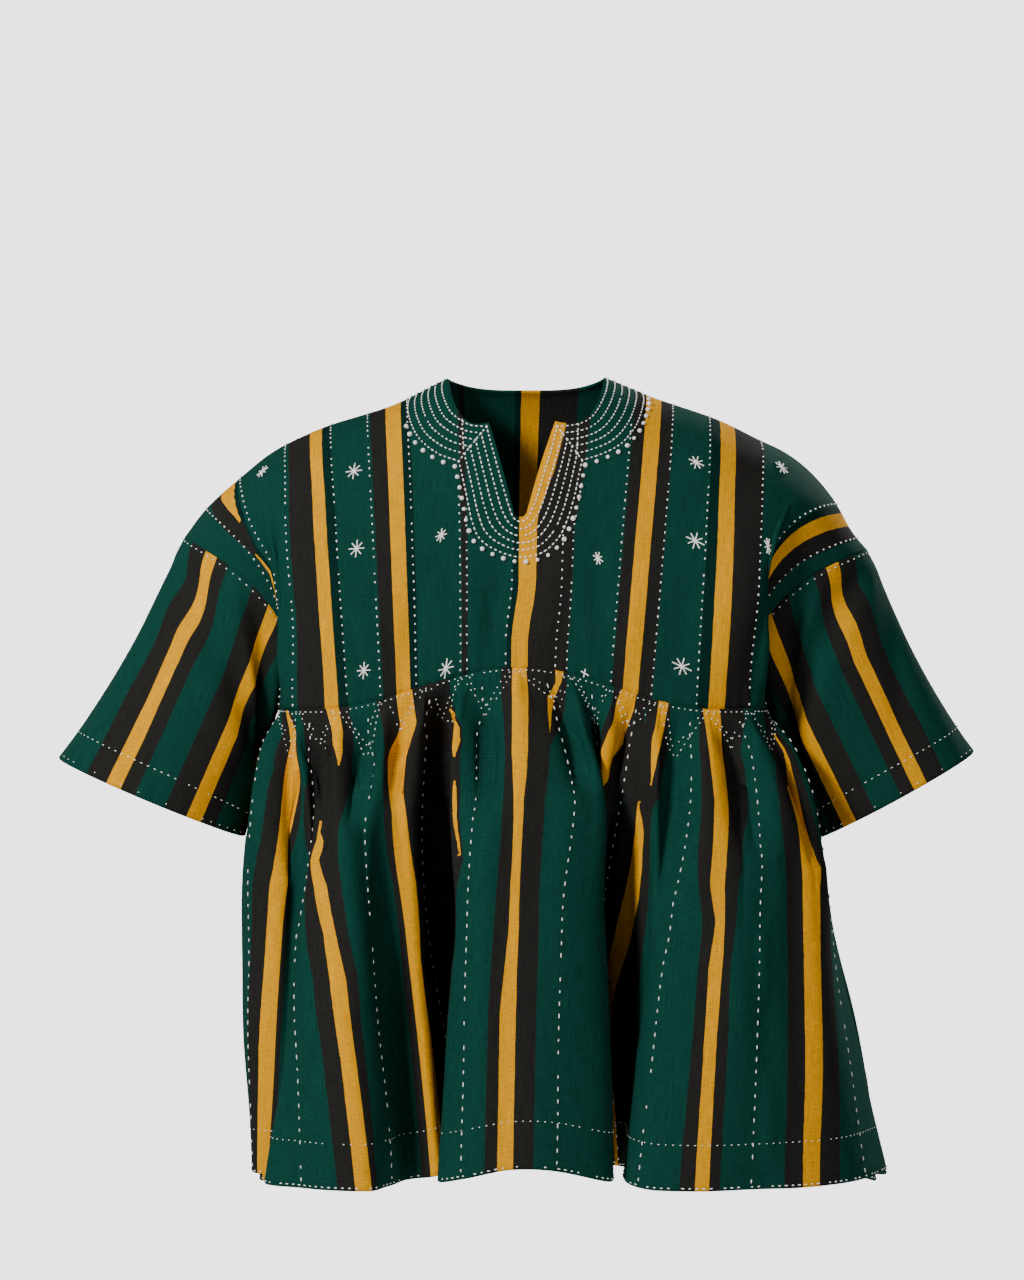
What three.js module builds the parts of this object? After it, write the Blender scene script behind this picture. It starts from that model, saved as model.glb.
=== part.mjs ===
// A gathered smock of hand-loomed strip cloth, hollow and open, in the form it takes when it is worn.
// Millimetres, +Z up. The front faces -Y and the wearer's left is +X. The origin lies midway between
// the two points where the shoulders meet the neck opening.

import * as THREE from 'three';

// ---------------------------------------------------------------- driving dimensions

const WALL = 1.6;               // strip cloth, seam allowances lapped
const HEM_WALL = 2.6;           // turned-up hem and cuff
const HEM_TURN = 40;            // height of the turned hem
const SEAM_GAP = 0.3;           // between two pieces along a seam
const ARMHOLE_GAP = 1.1;        // between body and sleeve, which meet at an angle

const NECK = { halfWidth: 69, slitLeft: -34, slitRight: 28, drop: 105, roundness: 2.6, nape: 52 };
const SLIT = { bottomAt: -6, drop: 195 };

// The gather seam: a rounded rectangle in plan, rising to a low arch at the middle of the front.
const GATHER = { centre: -3, halfWidth: 222, front: 118, back: 114, squareness: 5, sideZ: -306 };
const ARCH = { rise: 38, at: -8, halfWidth: 180 };

// The back of the body hangs a little flatter than the front.
const BACK_DEPTH_SHARE = 0.92;

// Levels of the skirt, as shares of the way from the gather seam to the hem.
const LEVELS = { seam: 0, hip: 0.18, middle: 0.5, hem: 1 };

const HEM = { z: -720, frontLift: 22, liftHalfWidth: 115, sideDrop: 18, backDrop: 28, turnDepth: 150 };

// Small gathers just under the seam: they start below a pointed tuck and die out into the big folds.
const GATHERS = { height: 9, opening: 35, fadeFrom: 60, fadeOver: 190, tuck: 32, skirtLength: 430 };

const CUFF = {
  left: { tip: [415, 0, -347], inner: [267, 0, -428], halfDepth: 56 },
  right: { tip: [-433, 0, -353], inner: [-262, 0, -425], halfDepth: 58 },
};
const SLEEVE = { turn: 0.09, bulge: 7, underarmClear: 3, girth: 470, length: 220 };

const GREEN = 0x0c4a3b;
const DARK_GREEN = 0x0a3f33;

// ---------------------------------------------------------------- tables of lengthwise lines and folds

// Lengthwise lines of the body, one for each change of form. cloth: distance from the centre line along
// the shoulder. shoulder, over, hang: the line's start on the shoulder, its way over the chest or the arm
// and the point it hangs from. seam: where it ends, measured along the gather seam from the middle.
const BODY_LINES = table(
  ['cloth', 'shoulderX', 'shoulderZ', 'overX', 'overY', 'overZ', 'hangX', 'hangY', 'hangZ', 'seam'], [
    [-370, -316, -148, -309, -58, -158, -206, -102, -228, -311],
    [-330, -296, -122, -292, -62, -133, -203, -112, -196, -282],
    [-287, -264, -93, -262, -66, -102, -206, -125, -184, -250],
    [-250, -235, -70, -234, -72, -85, -222, -126, -165, -226],
    [-208, -197, -51, -197, -68, -55, -187, -124, -135, -175],
    [-128, -122, -26, -121, -62, -28, -115, -119, -105, -106],
    [-60, -60, 3, -60, -60, 2, -52, -115, -80, -50],
    [0, 0, 14, -1, -60, 12, -4, -114, -70, -2],
    [60, 60, 3, 60, -60, 2, 54, -115, -80, 48],
    [122, 117, -19, 117, -62, -22, 107, -119, -105, 94],
    [196, 187, -44, 187, -68, -50, 181, -124, -135, 175],
    [227, 215, -58, 215, -70, -68, 209, -126, -155, 205],
    [255, 240, -70, 236, -70, -86, 213, -126, -172, 226],
    [317, 284, -112, 276, -64, -118, 194, -122, -165, 262],
    [352, 304, -146, 294, -62, -153, 190, -108, -210, 292],
    [374, 316, -160, 306, -60, -168, 192, -102, -236, 311],
  ]);

// Folds of the front skirt, from the right side seam round the front to the left one. cloth: strips of
// cloth from the first seam. seam: the place on the gather seam. The rest is where the fold stands at
// the hips, halfway down and at the hem.
const FRONT_FOLDS = table(
  ['cloth', 'seam', 'hipX', 'hipY', 'middleX', 'middleY', 'hemX', 'hemY'], [
    [-2.0, -311, -231, 0, -250, 0, -238, 0],
    [-1.6, -300, -236, -22, -243, -14, -228, -14],
    [-1.2, -288, -233, -44, -256, -38, -246, -42],
    [-0.8, -276, -238, -68, -250, -56, -236, -62],
    [-0.35, -262, -242, -92, -257, -76, -246, -84],
    [0.0, -250, -236, -110, -249, -104, -245, -108],
    [0.5, -226, -214, -126, -224, -132, -229, -122],
    [0.62, -219, -208, -124, -217, -128, -221, -130],
    [0.76, -211, -205, -124, -214, -134, -230, -164],
    [1.0, -196, -200, -128, -211, -142, -194, -190],
    [1.27, -182, -184, -138, -197, -162, -172, -203],
    [1.5, -171, -174, -136, -176, -176, -146, -208],
    [2.0, -138, -143, -142, -143, -165, -123, -178],
    [2.25, -121, -127, -138, -120, -148, -108, -152],
    [2.5, -105, -113, -136, -101, -142, -84, -158],
    [2.8, -92, -94, -126, -86, -122, -70, -128],
    [3.1, -80, -80, -120, -72, -108, -52, -108],
    [3.4, -66, -70, -124, -58, -124, -46, -126],
    [3.75, -48, -64, -140, -64, -166, -77, -190],
    [4.0, -36, -44, -150, -50, -188, -56, -214],
    [4.5, -4, -5, -150, -13, -196, -19, -224],
    [5.0, 16, 39, -150, 30, -192, 25, -222],
    [5.3, 26, 59, -142, 64, -172, 71, -200],
    [5.6, 40, 62, -126, 68, -142, 75, -160],
    [6.1, 66, 64, -122, 62, -104, 70, -114],
    [6.6, 92, 74, -122, 64, -76, 73, -76],
    [7.1, 106, 92, -118, 72, -90, 87, -70],
    [7.5, 121, 108, -126, 93, -122, 91, -104],
    [7.8, 132, 112, -138, 105, -148, 86, -144],
    [8.05, 140, 120, -144, 110, -168, 86, -180],
    [8.3, 150, 143, -148, 122, -180, 97, -197],
    [8.8, 172, 170, -146, 168, -190, 149, -209],
    [9.3, 200, 207, -136, 206, -178, 200, -197],
    [9.8, 222, 238, -122, 250, -158, 247, -186],
    [10.3, 245, 248, -98, 270, -118, 298, -142],
    [10.55, 256, 244, -80, 277, -88, 322, -98],
    [11.0, 272, 232, -58, 266, -54, 314, -58],
    [11.5, 286, 238, -34, 282, -28, 332, -26],
    [12.0, 300, 231, -16, 270, -8, 320, -4],
    [12.3, 311, 233, 0, 274, 0, 326, 0],
  ]);

// Folds of the back skirt, from the right side seam to the left one. width: share of the seam that the
// fold takes. reach: how far it stands out at the hem.
const BACK_FOLDS = table(
  ['width', 'reach'], [
    [0.95, 10], [0.9, 30], [0.85, 48], [1.1, 58], [0.9, 46], [1.15, 60], [0.95, 50], [1.05, 57],
    [0.85, 47], [0.9, 30], [0.95, 10],
  ]);

// Plan of the back skirt: half-widths to the wearer's right and left, and depth, at each level.
const BACK_PLAN = table(
  ['level', 'right', 'left', 'depth', 'foldShare'], [
    [LEVELS.seam, 225, 219, 114, 0],
    [LEVELS.hip, 231, 233, 122, 0.45],
    [LEVELS.middle, 250, 272, 142, 0.8],
    [LEVELS.hem, 238, 322, 165, 1],
  ]);

// Soft drag folds of the sleeves, as troughs between two points of the cloth: around the sleeve from its
// outer fold by way of the front, and along it from the armhole. Width and depth are in mm.
const SLEEVE_FOLDS = table(
  ['side', 'fromAround', 'fromShare', 'toAround', 'toShare', 'width', 'depth'], [
    ['right', 0.10, 0.12, 0.36, 0.46, 17, 8],
    ['right', 0.30, 0.06, 0.45, 0.55, 14, 9],
    ['right', 0.92, 0.10, 0.64, 0.50, 20, 7],
    ['right', 0.74, 0.35, 0.60, 0.75, 18, 5],
    ['left', 0.13, 0.08, 0.35, 0.40, 15, 7],
    ['left', 0.29, 0.10, 0.44, 0.62, 14, 9],
    ['left', 0.88, 0.12, 0.63, 0.55, 20, 7],
    ['left', 0.70, 0.42, 0.58, 0.80, 17, 5],
  ]);

// Where the points of the tucks lie along the gather seam.
const FRONT_TUCKS = [-311, -266, -226, -187, -141, -106, -72, -33, 21, 61, 98, 142, 186, 226, 268, 311];
const BACK_TUCKS = [-311, -270, -222, -180, -133, -92, -48, 0, 44, 90, 137, 178, 226, 268, 311];

// ---------------------------------------------------------------- small tools

function table(columns, rows) {
  return rows.map((row) => Object.fromEntries(row.map((value, i) => [columns[i], value])));
}

const vec = (x, y, z) => new THREE.Vector3(x, y, z);
const clamp01 = (value) => Math.min(1, Math.max(0, value));
const ramp = (value) => THREE.MathUtils.smoothstep(value, 0, 1);
const bell = (value) => (1 + Math.cos(Math.PI * Math.min(1, Math.abs(value)))) / 2;

// Slope of a smooth curve through uneven keys, at key number j.
function slopeAt(keys, values, j) {
  const last = keys.length - 1;
  const chord = (i) => (values[i + 1] - values[i]) / (keys[i + 1] - keys[i]);
  if (j === 0) return chord(0);
  if (j === last) return chord(last - 1);
  const before = keys[j] - keys[j - 1];
  const after = keys[j + 1] - keys[j];
  return (chord(j - 1) * after + chord(j) * before) / (before + after);
}

// Smooth curve through (keys, values), straight beyond both ends.
function curveThrough(keys, values, key) {
  const last = keys.length - 1;
  if (key <= keys[0]) return values[0] + (key - keys[0]) * slopeAt(keys, values, 0);
  if (key >= keys[last]) return values[last] + (key - keys[last]) * slopeAt(keys, values, last);
  let i = 0;
  while (keys[i + 1] < key) i += 1;
  const step = keys[i + 1] - keys[i];
  const t = (key - keys[i]) / step;
  const leave = slopeAt(keys, values, i) * step;
  const arrive = slopeAt(keys, values, i + 1) * step;
  const square = t * t;
  const cube = square * t;
  return (2 * cube - 3 * square + 1) * values[i] + (cube - 2 * square + t) * leave
    + (3 * square - 2 * cube) * values[i + 1] + (cube - square) * arrive;
}

// A column of a table read at any key between its rows.
function column(rows, keyName, name, key) {
  return curveThrough(rows.map((row) => row[keyName]), rows.map((row) => row[name]), key);
}

// Points of a line with the length reached at each of them.
function measured(points) {
  const lengths = [0];
  for (let i = 1; i < points.length; i += 1) {
    lengths.push(lengths[i - 1] + points[i].distanceTo(points[i - 1]));
  }
  return { points, lengths, total: lengths[lengths.length - 1] };
}

// The place on a measured line at a given length, as a number of points from its start.
function placeAt(line, length) {
  const wanted = Math.min(Math.max(length, 0), line.total);
  let i = 0;
  while (i < line.lengths.length - 2 && line.lengths[i + 1] < wanted) i += 1;
  return i + (wanted - line.lengths[i]) / (line.lengths[i + 1] - line.lengths[i]);
}

function pointAt(line, length) {
  const place = placeAt(line, length);
  const i = Math.min(Math.floor(place), line.points.length - 2);
  return line.points[i].clone().lerp(line.points[i + 1], place - i);
}

// Key points with even steps between them, none longer than the given one.
function stations(keys, longest) {
  const list = [keys[0]];
  for (let i = 1; i < keys.length; i += 1) {
    const count = Math.max(1, Math.ceil((keys[i] - keys[i - 1]) / longest));
    for (let j = 1; j <= count; j += 1) list.push(keys[i - 1] + ((keys[i] - keys[i - 1]) * j) / count);
  }
  return list;
}

const shares = (count) => Array.from({ length: count + 1 }, (_, i) => i / count);

// ---------------------------------------------------------------- the gather seam

function gatherQuadrant(depth) {
  const points = [];
  const steps = 200;
  for (let i = 0; i <= steps; i += 1) {
    const angle = (Math.PI / 2) * (1 - i / steps);
    const x = GATHER.halfWidth * Math.abs(Math.cos(angle)) ** (2 / GATHER.squareness);
    const y = depth * Math.abs(Math.sin(angle)) ** (2 / GATHER.squareness);
    points.push(vec(x, y, 0));
  }
  return measured(points);
}

const QUADRANT = { front: gatherQuadrant(GATHER.front), back: gatherQuadrant(GATHER.back) };

// A point of the gather seam, at a length along it from the middle of the front or the back.
function gatherPoint(along, face) {
  const flat = pointAt(QUADRANT[face], Math.abs(along));
  const x = GATHER.centre + Math.sign(along) * flat.x;
  if (face === 'back') return vec(x, flat.y, GATHER.sideZ);
  return vec(x, -flat.y, GATHER.sideZ + ARCH.rise * bell((x - ARCH.at) / ARCH.halfWidth));
}

// The direction that points straight out of the garment at that point.
function gatherOutward(along, face) {
  const flat = pointAt(QUADRANT[face], Math.abs(along));
  const depth = GATHER[face];
  const power = GATHER.squareness - 1;
  const x = (Math.sign(along) * (flat.x / GATHER.halfWidth) ** power) / GATHER.halfWidth;
  const y = (flat.y / depth) ** power / depth;
  return vec(x, face === 'front' ? -y : y, 0).normalize();
}

// ---------------------------------------------------------------- body: front and back

// A point of the body on the line of a given cloth distance, from the shoulder (0) to the gather seam (1).
function bodyPoint(cloth, share, face) {
  const read = (name) => column(BODY_LINES, 'cloth', name, cloth);
  const depth = face === 'front' ? 1 : -BACK_DEPTH_SHARE;
  return new THREE.CubicBezierCurve3(
    vec(read('shoulderX'), 0, read('shoulderZ')),
    vec(read('overX'), read('overY') * depth, read('overZ')),
    vec(read('hangX'), read('hangY') * depth, read('hangZ')),
    gatherPoint(read('seam'), face),
  ).getPoint(share);
}

// How far down a line of the body the neck opening reaches, in cloth.
function neckDrop(cloth, face) {
  if (Math.abs(cloth) >= NECK.halfWidth) return 0;
  if (face === 'back') return NECK.nape * Math.sqrt(1 - (cloth / NECK.halfWidth) ** 2);
  const corner = cloth < SLIT.bottomAt ? NECK.slitLeft : NECK.slitRight;
  const past = Math.abs(cloth) - Math.abs(corner);
  if (past > 0 && cloth * corner > 0) {
    const out = past / (NECK.halfWidth - Math.abs(corner));
    return NECK.drop * (1 - out ** NECK.roundness) ** (1 / NECK.roundness);
  }
  return NECK.drop + (SLIT.drop - NECK.drop) * clamp01((cloth - corner) / (SLIT.bottomAt - corner));
}

// The share of a body line at which the cloth starts.
function bodyTop(cloth, face) {
  const drop = neckDrop(cloth, face);
  if (drop <= 0) return 0;
  const steps = 48;
  const line = measured(shares(steps).map((share) => bodyPoint(cloth, share, face)));
  return placeAt(line, drop) / steps;
}

// ---------------------------------------------------------------- skirt

function hemZ(x, y) {
  const lift = HEM.frontLift * bell(x / HEM.liftHalfWidth) * (y < 0 ? 1 : 0);
  const side = HEM.sideDrop * ramp((y + 100) / 100);
  return HEM.z + lift - side - HEM.backDrop * ramp(y / HEM.turnDepth);
}

// How far the small gathers stand out, at a place along the seam and a length below it.
function gatherHeight(along, below, tucks) {
  let i = 0;
  while (i < tucks.length - 2 && tucks[i + 1] < along) i += 1;
  const across = clamp01((along - tucks[i]) / (tucks[i + 1] - tucks[i]));
  const start = GATHERS.tuck * Math.abs(2 * across - 1);
  const open = ramp((below - start) / GATHERS.opening);
  const fade = 1 - ramp((below - GATHERS.fadeFrom) / GATHERS.fadeOver);
  return GATHERS.height * open * fade * Math.sin(Math.PI * across) ** 0.7;
}

function frontSkirtPoint(cloth, share) {
  const read = (name) => column(FRONT_FOLDS, 'cloth', name, cloth);
  const seam = read('seam');
  const top = gatherPoint(seam, 'front');
  const levels = [LEVELS.seam, LEVELS.hip, LEVELS.middle, LEVELS.hem];
  const x = curveThrough(levels, [top.x, read('hipX'), read('middleX'), read('hemX')], share);
  const y = curveThrough(levels, [top.y, read('hipY'), read('middleY'), read('hemY')], share);
  const z = THREE.MathUtils.lerp(top.z, hemZ(read('hemX'), read('hemY')), share);
  const out = gatherHeight(seam, share * GATHERS.skirtLength, FRONT_TUCKS);
  return vec(x, y, z).addScaledVector(gatherOutward(seam, 'front'), out);
}

// The big folds of the back skirt: how far the cloth stands out or in, at a share of the way round.
function backFold(around) {
  const whole = BACK_FOLDS.reduce((sum, fold) => sum + fold.width, 0);
  let left = around * whole;
  let i = 0;
  while (i < BACK_FOLDS.length - 1 && left > BACK_FOLDS[i].width) {
    left -= BACK_FOLDS[i].width;
    i += 1;
  }
  return BACK_FOLDS[i].reach * Math.sin(Math.PI * clamp01(left / BACK_FOLDS[i].width)) ** 2;
}

function backSkirtPoint(around, share) {
  const read = (name) => column(BACK_PLAN, 'level', name, share);
  const along = (2 * around - 1) * QUADRANT.back.total;
  const seam = gatherPoint(along, 'back');
  const grow = Math.sign(along) < 0 ? read('right') : read('left');
  const x = (seam.x - GATHER.centre) * ((grow + Math.sign(along) * -GATHER.centre) / GATHER.halfWidth)
    + GATHER.centre;
  const y = seam.y * (read('depth') / GATHER.back);
  const outward = gatherOutward(along, 'back');
  const away = read('foldShare') * backFold(around)
    + gatherHeight(along, share * GATHERS.skirtLength, BACK_TUCKS);
  const z = THREE.MathUtils.lerp(seam.z, hemZ(x, y + away), share);
  return vec(x, y, z).addScaledVector(outward, away);
}

// ---------------------------------------------------------------- sleeves

function armholeLoop(side) {
  const cloth = side === 'left' ? BODY_LINES[BODY_LINES.length - 1].cloth : BODY_LINES[0].cloth;
  const front = shares(40).map((share) => bodyPoint(cloth, share, 'front'));
  const back = shares(40).map((share) => bodyPoint(cloth, 1 - share, 'back'));
  return measured([...front, ...back.slice(1)]);
}

function cuffLoop(side) {
  const { tip, inner, halfDepth } = CUFF[side];
  const centre = vec(...tip).add(vec(...inner)).multiplyScalar(0.5);
  const reach = vec(...tip).sub(centre);
  const points = shares(80).map((share) => {
    const angle = 2 * Math.PI * share;
    const front = vec(0, -halfDepth * Math.sin(angle), 0);
    return centre.clone().addScaledVector(reach, Math.cos(angle)).add(front);
  });
  return measured(points);
}

// Distance from a point to the stretch between two others, in the flat cloth.
function distanceToStretch(point, from, to) {
  const stretch = to.clone().sub(from);
  const share = clamp01(point.clone().sub(from).dot(stretch) / stretch.lengthSq());
  return point.distanceTo(from.clone().addScaledVector(stretch, share));
}

// How far the drag folds sink a point of the sleeve.
function sleeveSink(side, around, share) {
  const flat = (a, s) => new THREE.Vector2(a * SLEEVE.girth, s * SLEEVE.length);
  const sinks = SLEEVE_FOLDS.filter((fold) => fold.side === side).map((fold) => {
    const from = flat(fold.fromAround, fold.fromShare);
    const to = flat(fold.toAround, fold.toShare);
    return fold.depth * bell(distanceToStretch(flat(around, share), from, to) / (2 * fold.width));
  });
  return Math.max(...sinks) * ramp(share * 8);
}

// A point of a sleeve: around it from its outer fold by way of the front, and along it from the armhole.
function sleevePointer(side) {
  const armhole = armholeLoop(side);
  const cuff = cuffLoop(side);
  const outward = side === 'left' ? 1 : -1;
  const wrap = (value) => value - Math.floor(value);
  const smooth = (around, share) => {
    const top = wrap(around - SLEEVE.turn / 2);
    const start = pointAt(armhole, armhole.total * top);
    const end = pointAt(cuff, cuff.total * wrap(around + SLEEVE.turn / 2));
    const under = bell((top - 0.5) / 0.2);
    const clear = outward * (SLEEVE.underarmClear * under * (1 - share)
      + SLEEVE.bulge * under * Math.sin(Math.PI * share));
    return start.lerp(end, share).add(vec(clear, 0, 0));
  };
  return (around, share) => {
    const point = smooth(around, share);
    const inward = smooth(around + 0.5, share).sub(point).normalize();
    return point.addScaledVector(inward, sleeveSink(side, wrap(around), share));
  };
}

// ---------------------------------------------------------------- cloth walls

function normalOf(point, u, v, stepU, stepV) {
  const across = point(u + stepU, v).sub(point(u - stepU, v));
  const down = point(u, v + stepV).sub(point(u, v - stepV));
  return across.cross(down).normalize();
}

// A normal turned into a seam's plane and lengthened there, so that both walls meet on that plane.
function mitred(normal, axis) {
  const flat = normal.clone();
  flat[axis] = 0;
  return flat.divideScalar(Math.max(flat.lengthSq(), 0.3));
}

// Both faces of a wall: rows of points for the outside and the inside.
function wallFaces(piece) {
  const { point, columns, rows, rowsAt, step, mitre, thickness, shift } = piece;
  const outside = [];
  const inside = [];
  columns.forEach((u, i) => {
    outside.push([]);
    inside.push([]);
    rows.forEach((row, j) => {
      const v = rowsAt(u, row);
      const middle = point(u, v).add(shift(i, j, u));
      const axis = mitre(i, j, u);
      const plain = normalOf(point, u, v, step.u, step.v).multiplyScalar(piece.outSign);
      const normal = axis ? mitred(plain, axis) : plain;
      outside[i].push(middle.clone().addScaledVector(normal, WALL / 2));
      inside[i].push(middle.clone().addScaledVector(normal, WALL / 2 - thickness(row)));
    });
  });
  return { outside, inside };
}

function pushQuad(index, a, b, c, d) {
  index.push(a, b, c, a, c, d);
}

// Joins the two faces and closes the wall's edges. A tube closes on itself and has only two open edges.
function closedWall({ outside, inside }, isTube) {
  const columnCount = outside.length;
  const rowCount = outside[0].length;
  const positions = [...outside.flat(), ...inside.flat()].flatMap((p) => [p.x, p.y, p.z]);
  const outer = (i, j) => (i % columnCount) * rowCount + j;
  const inner = (i, j) => columnCount * rowCount + outer(i, j);
  const index = [];
  const spans = isTube ? columnCount : columnCount - 1;
  for (let i = 0; i < spans; i += 1) {
    for (let j = 0; j < rowCount - 1; j += 1) {
      pushQuad(index, outer(i, j), outer(i, j + 1), outer(i + 1, j + 1), outer(i + 1, j));
      pushQuad(index, inner(i, j), inner(i + 1, j), inner(i + 1, j + 1), inner(i, j + 1));
    }
    const bottom = rowCount - 1;
    pushQuad(index, outer(i, 0), outer(i + 1, 0), inner(i + 1, 0), inner(i, 0));
    pushQuad(index, outer(i, bottom), inner(i, bottom), inner(i + 1, bottom), outer(i + 1, bottom));
  }
  if (!isTube) {
    const end = columnCount - 1;
    for (let j = 0; j < rowCount - 1; j += 1) {
      pushQuad(index, outer(0, j), inner(0, j), inner(0, j + 1), outer(0, j + 1));
      pushQuad(index, outer(end, j), outer(end, j + 1), inner(end, j + 1), inner(end, j));
    }
  }
  return solidGeometry(positions, index);
}

function signedVolume(positions, index) {
  const corner = (k) => vec(...positions.slice(3 * k, 3 * k + 3));
  let sum = 0;
  for (let k = 0; k < index.length; k += 3) {
    sum += corner(index[k]).dot(corner(index[k + 1]).cross(corner(index[k + 2])));
  }
  return sum / 6;
}

function solidGeometry(positions, index) {
  const facing = signedVolume(positions, index) > 0 ? index : [...index].reverse();
  const geometry = new THREE.BufferGeometry();
  geometry.setAttribute('position', new THREE.Float32BufferAttribute(positions, 3));
  geometry.setIndex(facing);
  geometry.computeVertexNormals();
  return geometry;
}

const plainWall = () => WALL;
const noMitre = () => null;
const noShift = () => vec(0, 0, 0);

function clothPiece(name, color, piece) {
  const whole = {
    mitre: noMitre, thickness: plainWall, shift: noShift, outSign: 1, rowsAt: (u, row) => row, ...piece,
  };
  const material = new THREE.MeshStandardMaterial({ color, roughness: 0.9, metalness: 0 });
  const mesh = new THREE.Mesh(closedWall(wallFaces(whole), Boolean(whole.isTube)), material);
  mesh.name = name;
  return mesh;
}

// ---------------------------------------------------------------- the pieces

function bodyPiece(name, face) {
  const ends = [BODY_LINES[0].cloth, BODY_LINES[BODY_LINES.length - 1].cloth];
  const neckKeys = face === 'front'
    ? [-NECK.halfWidth, -68, -65, -58, -48, NECK.slitLeft, -20, SLIT.bottomAt,
      10, NECK.slitRight, 44, 58, 65, 68, NECK.halfWidth]
    : [-NECK.halfWidth, -68, -64, -52, 0, 52, 64, 68, NECK.halfWidth];
  const keys = [ends[0], -330, -300, -250, -235, ...neckKeys, 227, 245, 300, 345, ends[1]];
  const columns = stations(keys, face === 'front' ? 22 : 28);
  const tops = new Map(columns.map((cloth) => [cloth, bodyTop(cloth, face)]));
  const rows = shares(face === 'front' ? 9 : 8);
  const toFace = face === 'front' ? -1 : 1;
  const isShoulder = (j, cloth) => j === 0 && Math.abs(cloth) >= NECK.halfWidth;
  return clothPiece(name, GREEN, {
    point: (cloth, share) => bodyPoint(cloth, share, face),
    columns,
    rows,
    rowsAt: (cloth, row) => THREE.MathUtils.lerp(tops.get(cloth), 1, row),
    step: { u: 0.5, v: 0.002 },
    outSign: toFace,
    mitre: (i, j, cloth) => (isShoulder(j, cloth) ? 'y' : j === rows.length - 1 ? 'z' : null),
    shift: (i, j, cloth) => vec(0, isShoulder(j, cloth) ? (toFace * SEAM_GAP) / 2 : 0,
      j === rows.length - 1 ? SEAM_GAP / 2 : 0),
  });
}

function hemThickness(length) {
  return (row) => WALL + (HEM_WALL - WALL) * ramp((row - 1 + HEM_TURN / length) * 12);
}

function skirtPiece(name, face) {
  const isFront = face === 'front';
  const columns = isFront ? frontSkirtColumns() : shares(54);
  const rows = [0, 0.05, 0.1, 0.18, 0.3, 0.45, 0.62, 0.8, 0.9, 1];
  const last = columns.length - 1;
  const isSide = (i) => i === 0 || i === last;
  return clothPiece(name, DARK_GREEN, {
    point: isFront ? frontSkirtPoint : backSkirtPoint,
    columns,
    rows,
    step: { u: isFront ? 0.01 : 0.001, v: 0.002 },
    outSign: isFront ? -1 : 1,
    thickness: hemThickness(GATHERS.skirtLength),
    mitre: (i, j) => (isSide(i) ? 'y' : j === 0 ? 'z' : null),
    shift: (i, j) => vec(0, isSide(i) ? ((isFront ? -1 : 1) * SEAM_GAP) / 2 : 0, j === 0 ? -SEAM_GAP / 2 : 0),
  });
}

// Every fold of the front skirt has a column of its own, with one between two that lie far apart.
function frontSkirtColumns() {
  return stations(FRONT_FOLDS.map((fold) => fold.cloth), 0.26);
}

function sleevePiece(name, side) {
  const aroundCount = 28;
  const rows = [0, 0.1, 0.2, 0.32, 0.45, 0.62, 0.82, 0.9, 1];
  return clothPiece(name, GREEN, {
    point: sleevePointer(side),
    isTube: true,
    columns: shares(aroundCount).slice(0, aroundCount),
    rows,
    rowsAt: (u, row) => (row === 0 ? ARMHOLE_GAP / SLEEVE.length : row),
    step: { u: 0.004, v: 0.01 },
    outSign: side === 'left' ? 1 : -1,
    thickness: hemThickness(SLEEVE.length),
  });
}

const smock = new THREE.Group();
smock.add(
  bodyPiece('front_body', 'front'),
  bodyPiece('back_body', 'back'),
  sleevePiece('left_sleeve', 'left'),
  sleevePiece('right_sleeve', 'right'),
  skirtPiece('front_skirt', 'front'),
  skirtPiece('back_skirt', 'back'),
);

export default smock;
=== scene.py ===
import math

import bmesh
import bpy
import numpy as np
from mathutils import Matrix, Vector


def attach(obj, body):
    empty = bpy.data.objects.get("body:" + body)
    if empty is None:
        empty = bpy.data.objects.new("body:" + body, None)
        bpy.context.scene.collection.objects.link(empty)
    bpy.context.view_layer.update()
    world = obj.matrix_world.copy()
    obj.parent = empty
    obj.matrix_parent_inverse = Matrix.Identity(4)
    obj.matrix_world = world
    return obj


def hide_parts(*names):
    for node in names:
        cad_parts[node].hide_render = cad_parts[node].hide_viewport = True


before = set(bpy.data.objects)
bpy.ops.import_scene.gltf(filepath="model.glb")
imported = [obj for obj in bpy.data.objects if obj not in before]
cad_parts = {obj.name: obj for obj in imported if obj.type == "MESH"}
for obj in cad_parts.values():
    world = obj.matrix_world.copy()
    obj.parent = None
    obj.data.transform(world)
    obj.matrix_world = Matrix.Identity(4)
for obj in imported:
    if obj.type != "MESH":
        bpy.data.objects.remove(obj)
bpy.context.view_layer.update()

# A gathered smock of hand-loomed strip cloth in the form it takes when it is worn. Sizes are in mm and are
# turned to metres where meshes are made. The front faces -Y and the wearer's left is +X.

MM = 0.001

# ---------------------------------------------------------------- sizes

WALL = 1.6
HEM_WALL = 2.6
NECK_EDGE_WALL = 2.6
HEM_TURN = 40.0
CUFF_TURN = 28.0
# How far the rounded edges stand out: as a share of half the wall at the neck, the seam and the hem, and
# in mm at the sides.
EDGE_REACH = {"wall": 0.8, "side": 0.15}
# How far from a seam or an edge the cloth takes to reach its full creases or wall.
FADES = {"neck_edge": 9.0, "seam": 18.0, "underarm": 22.0}
# The hem and the cuffs reach their wall within one part in this many of the cloth's length.
HEM_PARTS = 14.0

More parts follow.
